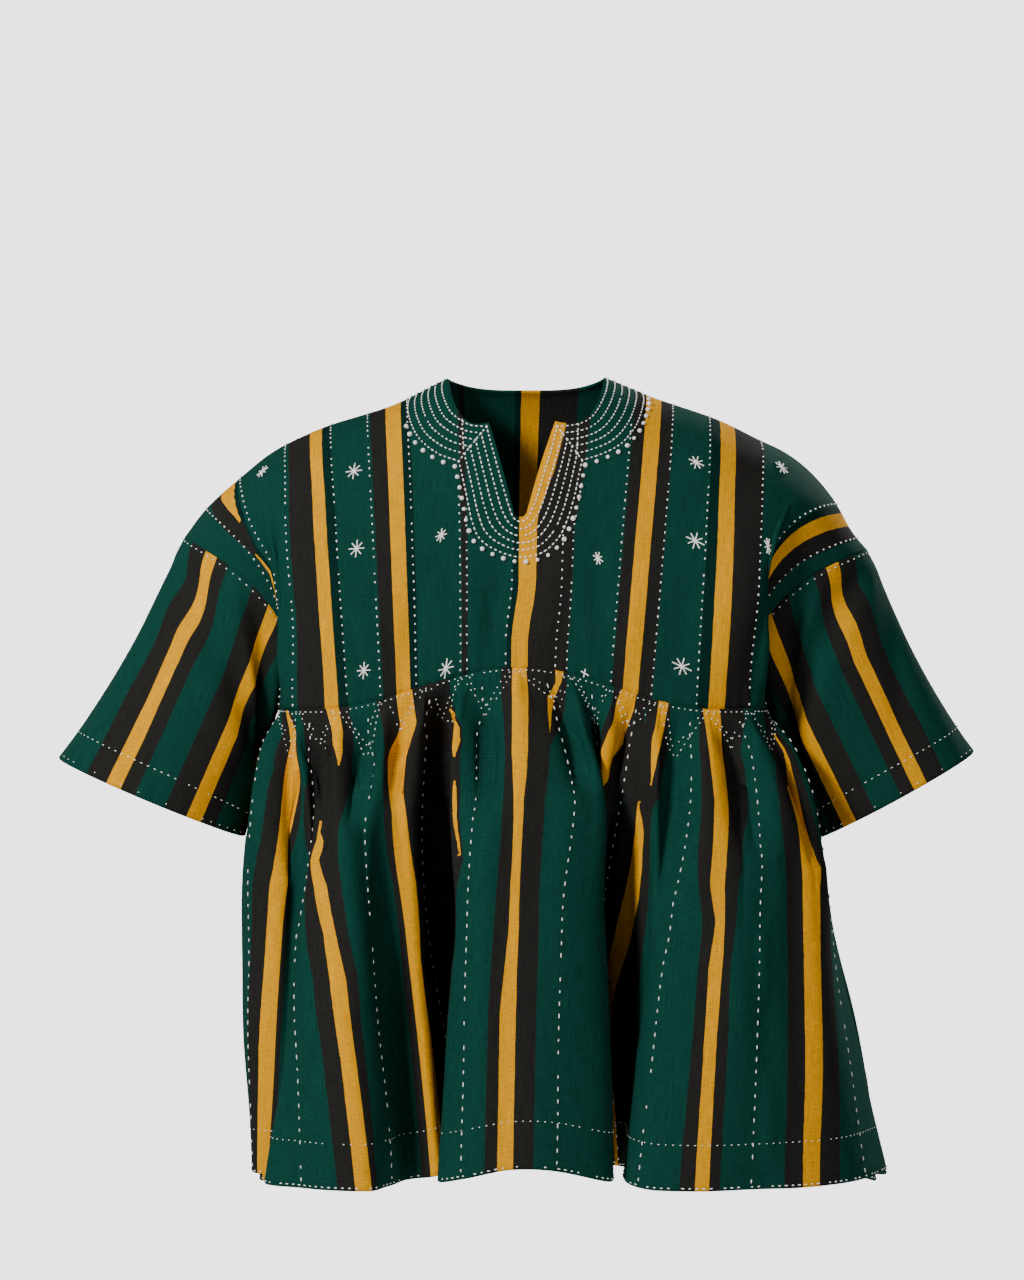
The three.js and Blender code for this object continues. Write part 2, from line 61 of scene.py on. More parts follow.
NECK = {"half_width": 73.0, "slit_left": -35.0, "slit_right": 29.0, "drop": 99.0, "roundness": 2.8,
        "nape": 52.0}
SLIT = {"bottom_at": -2.0, "drop": 195.0, "bottom_half": 5.4}
GATHER = {"centre": -3.0, "half_width": 222.0, "front": 118.0, "back": 114.0, "squareness": 5.0,
          "side_z": -306.0, "steps": 200}
ARCH = {"rise": 38.0, "at": -8.0, "half_width": 180.0}
BACK_DEPTH_SHARE = 0.92
LEVELS = [0.0, 0.18, 0.5, 1.0]
HEM = {"z": -720.0, "front_lift": 22.0, "lift_half_width": 115.0, "side_drop": 18.0, "side_depth": 100.0,
       "back_drop": 28.0, "turn_depth": 150.0}
GATHERS = {"height": 9.0, "opening": 35.0, "fade_from": 60.0, "fade_over": 190.0, "tuck": 32.0,
           "roundness": 0.7}
SKIRT_LENGTH = 430.0
STRIP_WIDTH = 91.0
BACK_STRIPS = 13.5

CUFF = {
    "left": {"tip": (415, 0, -347), "inner": (267, 0, -428), "half_depth": 56},
    "right": {"tip": (-433, 0, -353), "inner": (-262, 0, -425), "half_depth": 58},
}
SLEEVE = {"turn": 0.09, "bulge": 4.0, "underarm_clear": 3.4, "underarm_half": 0.2, "girth": 470.0,
          "length": 220.0}
SLEEVE_STRIPS = 6
# How many strips farther back each sleeve's pattern starts, at these shares of its length.
SHIFT_SHARES = (0, 0.4, 1)
SLEEVE_SHIFTS = {"left": (0.25, 0.33, 0.16), "right": (0.16, 0.18, 0.05)}

# Steps between the columns of each grid across the cloth, and how many columns and rows the others take.
BODY_STEP = 3.2
SKIRT_STEP = 3.0
BODY_ROWS = 96
SKIRT_ROWS = 98
SLEEVE_GRID = (133, 62)
# Columns crowd this far inside the ends of the neck opening, where its edge is steep.
NECK_INSETS = (0.3, 1.2, 3.0, 6.0)
# Places at which a gather seam is measured.
SEAM_SAMPLES = 600

# Lengthwise lines of the body: cloth distance from the centre along the shoulder, then where the line starts
# on the shoulder, passes over the chest or arm, hangs from, and meets the gather seam.
BODY_COLUMNS = ("cloth", "shoulder_x", "shoulder_z", "over_x", "over_y", "over_z", "hang_x", "hang_y",
                "hang_z", "seam")
BODY_LINES = [
    (-370, -316, -148, -309, -58, -158, -180, -102, -206, -311),
    (-330, -296, -122, -292, -62, -133, -190, -112, -182, -282),
    (-287, -264, -93, -262, -66, -102, -206, -125, -184, -250),
    (-250, -235, -70, -234, -72, -85, -222, -126, -165, -226),
    (-208, -197, -51, -197, -68, -55, -187, -124, -135, -175),
    (-128, -122, -26, -121, -62, -28, -115, -119, -105, -106),
    (-60, -60, 3, -60, -60, 2, -52, -115, -80, -50),
    (0, 0, 14, -1, -60, 12, -4, -114, -70, -2),
    (60, 60, 3, 60, -60, 2, 54, -115, -80, 48),
    (122, 117, -19, 117, -62, -22, 107, -119, -105, 94),
    (196, 187, -44, 187, -68, -50, 181, -124, -135, 175),
    (227, 215, -58, 215, -70, -68, 209, -126, -155, 205),
    (255, 240, -70, 236, -70, -86, 213, -126, -172, 226),
    (317, 284, -112, 274, -64, -113, 176, -122, -124, 262),
    (352, 304, -146, 292, -62, -147, 168, -108, -168, 292),
    (374, 316, -160, 306, -60, -166, 166, -102, -206, 311),
]

# Folds of the front skirt: strips of cloth from the first seam, the place on the gather seam, and where the
# fold stands at the hips, halfway down and at the hem.
FOLD_COLUMNS = ("cloth", "seam", "hip_x", "hip_y", "middle_x", "middle_y", "hem_x", "hem_y")
FRONT_FOLDS = [
    (-2.0, -311, -231, 0, -250, 0, -238, 0),
    (-1.6, -300, -236, -22, -243, -14, -228, -14),
    (-1.2, -288, -233, -44, -256, -38, -246, -42),
    (-0.8, -276, -238, -68, -250, -56, -236, -62),
    (-0.35, -262, -242, -92, -257, -76, -246, -84),
    (0.0, -250, -236, -110, -249, -104, -245, -108),
    (0.5, -226, -210, -126, -216, -130, -226, -122),
    (0.62, -219, -202, -124, -209, -127, -221, -130),
    (0.76, -211, -195, -124, -206, -134, -231, -164),
    (1.0, -196, -190, -128, -202, -144, -196, -190),
    (1.27, -182, -179, -138, -188, -164, -170, -203),
    (1.5, -171, -172, -136, -169, -176, -142, -208),
    (2.0, -138, -143, -142, -138, -163, -118, -178),
    (2.25, -121, -127, -138, -118, -146, -102, -152),
    (2.5, -105, -113, -136, -100, -142, -78, -158),
    (2.8, -92, -94, -126, -86, -122, -70, -128),
    (3.1, -80, -80, -120, -72, -108, -52, -108),
    (3.4, -66, -70, -124, -58, -124, -46, -126),
    (3.75, -48, -64, -140, -64, -166, -77, -190),
    (4.0, -36, -44, -150, -50, -188, -56, -214),
    (4.5, -4, -5, -150, -13, -196, -19, -224),
    (5.0, 16, 39, -150, 30, -192, 25, -222),
    (5.3, 26, 59, -142, 64, -172, 71, -200),
    (5.6, 40, 62, -126, 68, -142, 75, -160),
    (6.1, 66, 64, -122, 62, -104, 70, -114),
    (6.6, 92, 74, -122, 64, -76, 73, -76),
    (7.1, 106, 92, -118, 72, -90, 87, -70),
    (7.5, 121, 108, -126, 93, -122, 91, -104),
    (7.8, 132, 112, -138, 105, -148, 86, -144),
    (8.05, 140, 120, -144, 110, -168, 86, -180),
    (8.3, 150, 143, -148, 122, -180, 97, -197),
    (8.8, 172, 170, -146, 168, -190, 149, -209),
    (9.3, 200, 207, -136, 206, -178, 200, -197),
    (9.8, 222, 238, -122, 250, -158, 247, -186),
    (10.3, 245, 248, -98, 270, -118, 298, -142),
    (10.55, 256, 244, -80, 277, -88, 322, -98),
    (11.0, 272, 232, -58, 266, -54, 314, -58),
    (11.5, 286, 238, -34, 282, -28, 332, -26),
    (12.0, 300, 231, -16, 270, -8, 320, -4),
    (12.3, 311, 233, 0, 274, 0, 326, 0),
]

# Folds of the back skirt: share of the seam that each takes, and how far it stands out at the hem.
BACK_FOLDS = [(0.95, 10), (0.9, 30), (0.85, 48), (1.1, 58), (0.9, 46), (1.15, 60), (0.95, 50), (1.05, 57),
              (0.85, 47), (0.9, 30), (0.95, 10)]
# At each level: how far the back skirt reaches right, left and back, and how much of its folds it shows.
PLAN_COLUMNS = ("right", "left", "depth", "fold_share")
BACK_PLAN = [(225, 219, 114, 0), (231, 233, 122, 0.45), (250, 272, 142, 0.8), (238, 322, 165, 1)]

# Stripes of the front skirt as the gathers carry them. For each strip: the length below the seam, and how
# many strips from the first seam its black, its yellow, the next black and the next green begin. A yellow of
# no width is folded away. In the deep folds the blacks are drawn wider than woven, over green, and there the
# black is partly painted shade.
CARRIED = {
    0: [(0, 0.36, 0.55, 0.59, 0.66), (32, 0.30, 0.45, 0.76, 0.84), (55, 0.30, 0.44, 0.70, 0.76),
        (71, 0.25, 0.42, 0.62, 0.67), (118, 0.21, 0.38, 0.58, 0.62), (160, 0.12, 0.33, 0.50, 0.55),
        (222, 0.07, 0.28, 0.47, 0.53), (315, 0.01, 0.21, 0.44, 0.52), (430, -0.04, 0.17, 0.42, 0.52)],
    1: [(0, 0.86, 1.38, 1.60, 1.74), (23, 0.92, 1.50, 1.68, 1.80), (40, 0.97, 1.60, 1.69, 1.84),
        (52, 0.93, 1.64, 1.65, 1.84), (56, 0.93, 1.64, 1.64, 1.84), (98, 0.68, 1.13, 1.13, 1.69),
        (101, 0.69, 1.13, 1.142, 1.67), (108, 0.70, 1.122, 1.144, 1.66), (114, 0.71, 1.120, 1.150, 1.655),
        (120, 0.73, 1.126, 1.20, 1.65), (128, 0.78, 1.10, 1.242, 1.64), (135, 0.82, 1.102, 1.278, 1.63),
        (160, 1.08, 1.245, 1.44, 1.66), (204, 1.20, 1.40, 1.54, 1.70), (244, 1.29, 1.44, 1.63, 1.77),
        (315, 1.32, 1.46, 1.63, 1.76), (430, 1.32, 1.44, 1.60, 1.70)],
    2: [(0, 2.10, 2.36, 2.62, 3.02), (30, 2.23, 2.45, 2.73, 3.17), (46, 2.26, 2.43, 2.64, 3.22),
        (62, 2.26, 2.43, 2.57, 3.20), (99, 2.29, 2.43, 2.58, 3.16), (173, 2.34, 2.42, 2.62, 3.13),
        (240, 2.33, 2.41, 2.58, 3.10), (430, 2.33, 2.41, 2.68, 3.10)],
    3: [(0, 3.02, 3.27, 3.27, 3.40), (24, 3.17, 3.36, 3.36, 3.44), (30, 3.20, 3.35, 3.42, 3.50),
        (38, 3.21, 3.31, 3.62, 3.68), (46, 3.22, 3.30, 3.74, 3.77), (57, 3.20, 3.40, 3.78, 3.80),
        (66, 3.20, 3.68, 3.76, 3.79), (72, 3.18, 3.72, 3.72, 3.79), (92, 3.16, 3.76, 3.76, 3.82),
        (98, 3.16, 3.75, 3.79, 3.83), (125, 3.15, 3.78, 3.83, 3.85), (154, 3.14, 3.87, 3.89, 3.91),
        (158, 3.135, 3.88, 3.88, 3.90), (166, 3.13, 3.85, 3.85, 3.87), (192, 3.12, 3.76, 3.76, 3.80),
        (430, 3.10, 3.60, 3.60, 3.70)],
    4: [(0, 4.24, 4.40, 4.64, 5.14), (10, 4.25, 4.40, 4.63, 5.06), (24, 4.26, 4.40, 4.62, 4.88),
        (37, 4.27, 4.40, 4.60, 4.81), (55, 4.30, 4.40, 4.58, 4.77), (72, 4.32, 4.40, 4.57, 4.73),
        (116, 4.32, 4.44, 4.54, 4.67), (160, 4.32, 4.46, 4.55, 4.69), (227, 4.30, 4.47, 4.58, 4.74),
        (296, 4.27, 4.40, 4.58, 4.75), (430, 4.26, 4.41, 4.59, 4.75)],
    5: [(0, 5.16, 5.36, 5.52, 5.60), (10, 5.08, 5.26, 5.38, 5.48), (24, 4.89, 4.92, 5.07, 5.32),
        (37, 4.82, 4.85, 4.93, 5.16), (55, 4.78, 4.79, 4.82, 4.91), (70, 4.73, 4.75, 4.76, 4.78),
        (75, 4.72, 4.73, 4.73, 4.74), (116, 4.67, 4.68, 4.68, 4.69), (160, 4.69, 4.70, 4.70, 4.71),
        (227, 4.74, 4.75, 4.75, 4.76), (430, 4.75, 4.76, 4.76, 4.77)],
    6: [(0, 6.38, 6.50, 6.92, 7.18), (15, 6.36, 6.44, 6.92, 7.22), (30, 6.30, 6.42, 6.86, 7.29),
        (46, 6.20, 6.33, 6.81, 7.31), (62, 6.05, 6.22, 6.76, 7.32), (76, 5.98, 6.12, 6.60, 7.33),
        (92, 5.92, 6.02, 6.34, 7.09), (108, 5.85, 6.00, 6.04, 6.83), (116, 5.85, 6.00, 6.00, 6.82),
        (150, 5.85, 6.00, 6.00, 6.92), (200, 5.85, 6.00, 6.00, 6.98), (260, 5.85, 6.00, 6.00, 6.81),
        (430, 5.85, 6.00, 6.00, 6.62)],
    7: [(0, 7.20, 7.50, 7.74, 7.81), (23, 7.29, 7.48, 7.75, 7.87), (37, 7.31, 7.43, 7.74, 8.00),
        (53, 7.33, 7.47, 7.66, 8.05), (72, 7.34, 7.55, 7.58, 8.05), (76, 7.34, 7.56, 7.56, 8.04),
        (92, 7.10, 7.34, 7.34, 7.72), (98, 7.06, 7.32, 7.35, 7.70), (108, 6.84, 7.33, 7.46, 7.70),
        (120, 6.84, 7.36, 7.56, 7.71), (150, 6.94, 7.38, 7.61, 7.76), (180, 7.00, 7.35, 7.60, 7.74),
        (220, 7.00, 7.28, 7.50, 7.69), (262, 6.82, 7.13, 7.35, 7.68), (300, 6.80, 7.02, 7.22, 7.68),
        (350, 6.74, 6.92, 7.06, 7.68), (430, 6.64, 6.84, 6.96, 7.68)],
    8: [(0, 8.50, 8.55, 8.88, 9.28), (12, 8.49, 8.58, 8.89, 9.28), (34, 8.43, 8.59, 8.90, 9.14),
        (82, 8.46, 8.68, 8.90, 9.10), (128, 8.47, 8.67, 8.85, 9.05), (157, 8.53, 8.66, 8.83, 8.98),
        (190, 8.62, 8.74, 8.84, 8.96), (234, 8.61, 8.70, 8.83, 8.91), (287, 8.62, 8.71, 8.82, 8.93),
        (430, 8.64, 8.76, 8.88, 8.97)],
    9: [(0, 9.92, 10.08, 10.08, 10.16), (36, 9.78, 10.07, 10.09, 10.19), (52, 9.52, 9.98, 10.05, 10.17),
        (67, 9.46, 9.90, 10.04, 10.16), (99, 9.45, 9.74, 10.03, 10.18), (130, 9.48, 9.71, 10.04, 10.20),
        (166, 9.52, 9.72, 9.96, 10.18), (225, 9.55, 9.73, 9.92, 10.14), (430, 9.55, 9.74, 9.89, 10.06)],
}

FRONT_TUCKS = [-311, -266, -226, -187, -141, -106, -72, -33, 21, 61, 98, 142, 186, 226, 268, 311]
BACK_TUCKS = [-311, -270, -222, -180, -133, -92, -48, 0, 44, 90, 137, 178, 226, 268, 311]

# Drag folds of the sleeves: from and to, around the sleeve and along it, with width and depth.
SLEEVE_FOLDS = {
    "right": [(0.10, 0.12, 0.36, 0.46, 17, 8), (0.30, 0.06, 0.45, 0.55, 14, 9),
              (0.92, 0.10, 0.64, 0.50, 20, 7), (0.74, 0.35, 0.60, 0.75, 18, 5)],
    "left": [(0.13, 0.08, 0.35, 0.40, 15, 7), (0.29, 0.10, 0.44, 0.62, 14, 9),
             (0.88, 0.12, 0.63, 0.55, 20, 7), (0.70, 0.42, 0.58, 0.80, 17, 5)],
}

# ---------------------------------------------------------------- colours and stripes

GREEN = (0.0034, 0.0420, 0.0310)
DARK_GREEN = (0.0020, 0.0190, 0.0150)
BLACK = (0.0160, 0.0150, 0.0132)
YELLOW = (0.6700, 0.2950, 0.0004)
THREAD = (0.95, 0.94, 0.90)
WORN_THREAD = (0.86, 0.84, 0.78)

# Stripes of the body, from the cloth distance at which each starts.
BODY_STRIPES = [
    (-380, GREEN), (-325, BLACK), (-312, YELLOW), (-292, DARK_GREEN), (-287, GREEN), (-234, BLACK),
    (-213, YELLOW), (-201, DARK_GREEN), (-190, GREEN), (-154, BLACK), (-137, YELLOW), (-123, DARK_GREEN),
    (-115, GREEN), (-66, BLACK), (-60, GREEN), (-10, DARK_GREEN), (-3, YELLOW), (13, BLACK), (50, GREEN),
    (102, BLACK), (113, YELLOW), (128, BLACK), (142, GREEN), (177, DARK_GREEN), (186, YELLOW), (199, BLACK),
    (230, GREEN), (325, DARK_GREEN), (332, YELLOW), (342.5, BLACK), (358, GREEN),
]
BODY_SPAN = (-380.0, 380.0)
# Where the strips of the body are sewn together.
BODY_SEAMS = [-330, -287, -235, -190, -154, -115, -67, -60, -10, 40, 50, 102, 142, 177, 230, 324, 358]
# Stripes of one loom strip, as shares of its width.
SKIRT_STRIPES = [(0, GREEN), (0.27, BLACK), (0.42, YELLOW), (0.57, BLACK), (0.72, GREEN)]
SLEEVE_STRIPES = [(0, GREEN), (0.14, BLACK), (0.41, YELLOW), (0.59, BLACK), (0.77, GREEN)]
ONE_STRIP = (0.0, 1.0)
# How far the edges of the stripes waver, in strips and in mm.
WAVER = {"strips": 0.010, "mm": 0.9}

# The stripes beside the slit lean with its open edge, and drift below it.
LEAN = {"from": 76.0, "over": 48.0, "most": 1.15, "drift": -8.0, "drift_from": 250.0, "drift_over": 60.0,
        "drift_half_width": 70.0}

# The yellow of the right shoulder, as its cloth is drawn under the fold at the armhole: length down, and
# where its black, its yellow, the next black and the next green begin.
YOKE_STRIPE = [(0, -323, -307, -291, -290), (22, -327, -313, -296, -295), (45, -334, -313, -303, -302),
               (62, -336, -312.5, -308, -307), (72, -335, -311, -311, -310), (99, -329, -320, -320, -319),
               (104, -325, -322, -319, -318), (116, -319, -317, -311, -310), (130, -307, -306, -301, -299),
               (150, -302, -301, -298, -297)]
# From and to where the green before them and those four colours lie in the cloth as woven.
YOKE_WOVEN = ((-345, -325.6), (-325, -312), (-312, -292), (-292, -287), (-286.4, -280))
# The yellow is folded away where it is narrower than this, and black is painted over this far to both sides;
# where that black covers green at the fold edge it is painted shade.
YOKE_FOLD_AND_SHADE = {"narrow": 1.6, "reach": 4.5}

# Creases laid in the flat cloth: from and to (across, down), half-width, and height (ridge above 0).
FRONT_BODY_CREASES = [
    (-262, 130, -205, 292, 15, -4.0), (-285, 150, -240, 285, 11, 3.5), (-240, 70, -150, 170, 20, -2.6),
    (-300, 96, -262, 205, 14, -3.5), (-249, 96, -262, 178, 7, -4.5), (-176, 215, -150, 298, 12, 2.2),
    (-108, 220, -122, 300, 13, -2.2), (-60, 235, -44, 305, 12, 2.0), (-24, 230, -36, 310, 11, -1.8),
    (36, 228, 24, 310, 12, 2.2), (72, 205, 90, 300, 14, -2.4), (128, 215, 118, 300, 12, 2.2),
    (170, 200, 158, 296, 13, -2.4), (212, 160, 196, 290, 15, 2.6), (232, 70, 150, 165, 20, -2.6),
    (268, 130, 222, 288, 15, -4.2), (300, 92, 268, 200, 13, -3.4), (290, 150, 248, 284, 11, 3.4),
]
BACK_BODY_CREASES = [
    (-280, 120, -220, 285, 15, -4.0), (-225, 90, -120, 190, 22, -2.8), (-150, 210, -170, 298, 13, 2.4),
    (-90, 190, -70, 300, 14, -2.2), (-30, 200, -40, 300, 12, 2.0), (44, 205, 30, 300, 13, -2.2),
    (100, 190, 116, 298, 14, 2.4), (160, 180, 150, 296, 14, -2.4), (228, 85, 130, 180, 21, -2.8),
    (284, 120, 226, 286, 15, -4.0),
]
FRONT_SKIRT_CREASES = [
    (-120, 30, -105, 300, 16, -4.0), (60, 60, 78, 420, 16, -5.0), (100, 110, 112, 420, 15, 3.0),
    (150, 30, 166, 260, 13, 4.5), (172, 100, 176, 400, 16, 3.5), (207, 60, 209, 425, 21, -12.0),
    (92, 40, 84, 190, 13, -9.0), (276, 40, 284, 330, 25, -24.0), (372, 20, 384, 420, 18, 3.0),
    (430, 15, 436, 300, 14, -3.5), (474, 40, 470, 400, 17, 3.2), (540, 20, 552, 250, 11, -3.5),
    (640, 25, 668, 300, 14, 3.5), (700, 60, 712, 300, 12, -4.0), (742, 180, 806, 262, 14, -4.5),
    (812, 20, 836, 400, 18, 3.0), (845, 190, 848, 260, 8, 3.0), (852, 330, 856, 410, 8, 3.0),
    (872, 20, 884, 420, 14, -5.0), (905, 30, 930, 420, 19, 3.0), (958, 20, 990, 300, 14, -4.0),
    (1040, 25, 1056, 340, 15, 3.0),
]
BACK_SKIRT_CREASES = [
    (60, 20, 74, 280, 13, -2.6), (150, 30, 158, 400, 16, 2.6), (236, 20, 228, 260, 12, -2.8),
    (318, 30, 334, 420, 18, 2.4), (410, 15, 402, 240, 12, -2.8), (500, 25, 516, 380, 16, 2.6),
    (596, 20, 588, 260, 12, -2.8), (690, 30, 704, 420, 18, 2.4), (780, 20, 770, 300, 13, -2.8),
    (872, 25, 888, 380, 16, 2.6), (960, 20, 950, 260, 12, -2.8), (1050, 30, 1062, 400, 17, 2.4),
    (1140, 20, 1130, 280, 13, -2.6),
]
SLEEVE_CREASES = [
    (30, 40, 70, 170, 14, -2.6), (110, 20, 130, 120, 12, 2.2), (190, 60, 176, 200, 15, -2.4),
    (300, 30, 282, 150, 14, -2.6), (360, 50, 372, 190, 15, 2.2), (430, 30, 416, 160, 14, -2.4),
]

# Pleats that open below each tuck of the gather seam: how far down each reaches, how far it leans across the
# cloth, its half-width and its depth. Each is sharp at the bottom and rounds over onto its neighbours.
FRONT_PLEATS = [(100, 0, 34, 9), (120, 6, 34, 14), (160, 6, 36, 17), (135, 16, 38, 22), (112, -16, 34, 19),
                (104, 8, 26, 14), (250, 20, 36, 24), (128, 8, 38, 21), (112, -8, 34, 18), (120, 8, 22, 8),
                (90, -10, 22, 11), (175, 4, 38, 21), (135, 14, 36, 19), (145, 12, 36, 19), (110, 4, 34, 13),
                (100, 0, 34, 9)]
BACK_PLEATS = [(100, 0, 34, 9), (130, 8, 36, 16), (170, -8, 38, 20), (120, 14, 36, 18), (190, -6, 38, 22),
               (110, 12, 34, 17), (200, -4, 38, 23), (125, 8, 36, 18), (180, -14, 38, 22), (110, 6, 34, 17),
               (190, 8, 38, 21), (120, -8, 36, 17), (165, 6, 36, 18), (110, -4, 34, 13), (100, 0, 34, 9)]
# The pleats start this far below the gather seam.
PLEAT_TOP = 34

# The small bunches below the gather seam and above it.
SKIRT_PUCKER = {"height": 0.9, "spacing": 10.5, "fade": 20.0}
BODY_PUCKER = {"height": 0.55, "spacing": 14.0, "fade": 16.0}

# ---------------------------------------------------------------- small tools


def ramp(value):
    value = np.clip(value, 0, 1)
    return value * value * (3 - 2 * value)


def bell(value):
    return (1 + np.cos(np.pi * np.clip(np.abs(value), 0, 1))) / 2


def pack(x, y, z):
    return np.stack(np.broadcast_arrays(x, y, z), axis=-1).astype(float)


def unit(vectors):
    return vectors / np.maximum(np.linalg.norm(vectors, axis=-1, keepdims=True), 1e-9)


def curve_through(keys, values, at):
    """Smooth curve through uneven keys, straight beyond both ends. Each key's value may be a number or a
    whole grid like at."""
    keys = np.asarray(keys, float)
    at = np.asarray(at, float)
    values = np.stack([np.broadcast_to(np.asarray(value, float), at.shape) for value in values])
    steps = np.diff(keys)
    chords = np.diff(values, axis=0) / steps.reshape((-1,) + (1,) * at.ndim)
    slopes = np.empty_like(values)
    slopes[0], slopes[-1] = chords[0], chords[-1]
    for j in range(1, len(keys) - 1):
        slopes[j] = (chords[j - 1] * steps[j] + chords[j] * steps[j - 1]) / (steps[j - 1] + steps[j])
    i = np.clip(np.searchsorted(keys, at, side="right") - 1, 0, len(keys) - 2)

    def pick(source, index):
        return np.take_along_axis(source, index[None], axis=0)[0]

    t = (at - keys[i]) / steps[i]
    inside = (2 * t ** 3 - 3 * t ** 2 + 1) * pick(values, i)
    inside += (t ** 3 - 2 * t ** 2 + t) * pick(slopes, i) * steps[i]
    inside += (3 * t ** 2 - 2 * t ** 3) * pick(values, i + 1)
    inside += (t ** 3 - t ** 2) * pick(slopes, i + 1) * steps[i]
    below = values[0] + (at - keys[0]) * slopes[0]
    above = values[-1] + (at - keys[-1]) * slopes[-1]
    return np.where(at < keys[0], below, np.where(at > keys[-1], above, inside))


def read_columns(rows, names, at):
    """Every named column of a table, read smoothly at the given values of its first column."""
    keys = [row[0] for row in rows]
    return {name: curve_through(keys, [row[k] for row in rows], at) for k, name in enumerate(names) if k > 0}


def evenly(keys, longest):
    """Key points with even steps between them, none longer than the given one."""
    places = [keys[0]]
    for low, high in zip(keys, keys[1:]):
        count = max(1, math.ceil((high - low) / longest))
        places += [low + (high - low) * k / count for k in range(1, count + 1)]
    return np.array(places, float)


def lengths_along(lines):
    """Lengths from the first point of each line to all of its points, where a line is a row of points."""
    steps = np.linalg.norm(np.diff(lines, axis=-2), axis=-1)
    return np.concatenate([np.zeros_like(steps[..., :1]), np.cumsum(steps, axis=-1)], axis=-1)


def stretch_distance(flat, start, end):
    """Distance in the flat cloth from each point to the stretch between two others, and its share on it."""
    start, end = np.asarray(start, float), np.asarray(end, float)
    way = end - start
    share = np.clip(((flat - start) @ way) / (way @ way), 0, 1)
    return np.linalg.norm(flat - (start + share[..., None] * way), axis=-1), share


def place_object(name, data):
    thing = bpy.data.objects.new(name, data)
    bpy.context.scene.collection.objects.link(thing)
    return thing


# ---------------------------------------------------------------- the gather seam


def quadrant(depth):
    """A quarter of the seam's rounded plan, and the length along it to each point."""
    angle = (np.pi / 2) * (1 - np.arange(GATHER["steps"] + 1) / GATHER["steps"])
    x = GATHER["half_width"] * np.abs(np.cos(angle)) ** (2 / GATHER["squareness"])
    y = depth * np.abs(np.sin(angle)) ** (2 / GATHER["squareness"])
    lengths = np.concatenate([[0], np.cumsum(np.hypot(np.diff(x), np.diff(y)))])
    return x, y, lengths


FACING = {"front": -1, "back": 1}
QUADRANTS = {face: quadrant(GATHER[face]) for face in FACING}
# Half the length of the gather seam at the back.
SEAM_HALF = QUADRANTS["back"][2][-1]


def gather_flat(along, face):
    x, y, lengths = QUADRANTS[face]
    reach = np.abs(along)
    return np.interp(reach, lengths, x), np.interp(reach, lengths, y)


def gather_point(along, face):
    x, y = gather_flat(along, face)
    x = GATHER["centre"] + np.sign(along) * x
    if face == "back":
        return pack(x, y, GATHER["side_z"])
    return pack(x, -y, GATHER["side_z"] + ARCH["rise"] * bell((x - ARCH["at"]) / ARCH["half_width"]))


def gather_outward(along, face):
    """The level direction straight out from the seam."""
    x, y = gather_flat(along, face)
    power = GATHER["squareness"] - 1
    out_x = np.sign(along) * (x / GATHER["half_width"]) ** power / GATHER["half_width"]
    out_y = (y / GATHER[face]) ** power / GATHER[face]
    return unit(pack(out_x, FACING[face] * out_y, 0))


# ---------------------------------------------------------------- form of the body

# Shares of the body lines at which their lengths are measured.
FINE = np.linspace(0, 1, 49)


def body_point(cloth, share, face):
    read = read_columns(BODY_LINES, BODY_COLUMNS, cloth)
    depth = 1 if face == "front" else -BACK_DEPTH_SHARE
    corners = [
        pack(read["shoulder_x"], 0, read["shoulder_z"]),
        pack(read["over_x"], read["over_y"] * depth, read["over_z"]),
        pack(read["hang_x"], read["hang_y"] * depth, read["hang_z"]),
        gather_point(read["seam"], face),
    ]
    t = np.asarray(share, float)[..., None]
    weights = [(1 - t) ** 3, 3 * (1 - t) ** 2 * t, 3 * (1 - t) * t ** 2, t ** 3]
    return sum(w * c for w, c in zip(weights, corners))


def line_lengths(cloth, face):
    """Lengths of cloth from the shoulder down the lines of the body, at even steps of their shares."""
    columns = np.repeat(cloth[:, None], len(FINE), axis=1)
    return lengths_along(body_point(columns, np.broadcast_to(FINE, columns.shape), face))


def body_shares(cloth, down, face):
    """The shares of the body lines at which a length of cloth below the shoulder is reached."""
    cloth = np.asarray(cloth, float)
    down = np.broadcast_to(np.asarray(down, float), cloth.shape)
    return np.array([np.interp(d, row, FINE) for d, row in zip(down, line_lengths(cloth, face))])


def body_lengths(cloth, shares, face):
    """Length of cloth from the shoulder to each point of the grid."""
    return np.array([np.interp(s, FINE, row) for s, row in zip(shares, line_lengths(cloth, face))])


def neck_drop(cloth, face):
    """How far down a line of the body the neck opening reaches."""
    if abs(cloth) >= NECK["half_width"]:
        return 0.0
    if face == "back":
        return NECK["nape"] * math.sqrt(1 - (cloth / NECK["half_width"]) ** 2)
    corner = NECK["slit_left"] if cloth < SLIT["bottom_at"] else NECK["slit_right"]
    past = abs(cloth) - abs(corner)
    if past > 0 and cloth * corner > 0:
        out = past / (NECK["half_width"] - abs(corner))
        return NECK["drop"] * (1 - out ** NECK["roundness"]) ** (1 / NECK["roundness"])
    foot = SLIT["bottom_at"] + math.copysign(SLIT["bottom_half"], corner - SLIT["bottom_at"])
    way = (cloth - corner) / (foot - corner)
    return NECK["drop"] + (SLIT["drop"] - NECK["drop"]) * min(1.0, max(0.0, way))


def stripe_lean(cloth, down, face):
    """How far the stripes lean aside at each place."""
    if face == "back":
        return np.zeros_like(cloth)
    way = np.clip((SLIT["drop"] - down) / (SLIT["drop"] - NECK["drop"]), 0, LEAN["most"])
    beside = np.where(cloth > SLIT["bottom_at"], np.clip((LEAN["from"] - cloth) / LEAN["over"], 0, 1), 0)
    drift = LEAN["drift"] * ramp((down - LEAN["drift_from"]) / LEAN["drift_over"])
    drift = drift * bell(cloth / LEAN["drift_half_width"])
    return (NECK["slit_right"] - SLIT["bottom_at"]) * way * beside + drift


# ---------------------------------------------------------------- form of the skirt


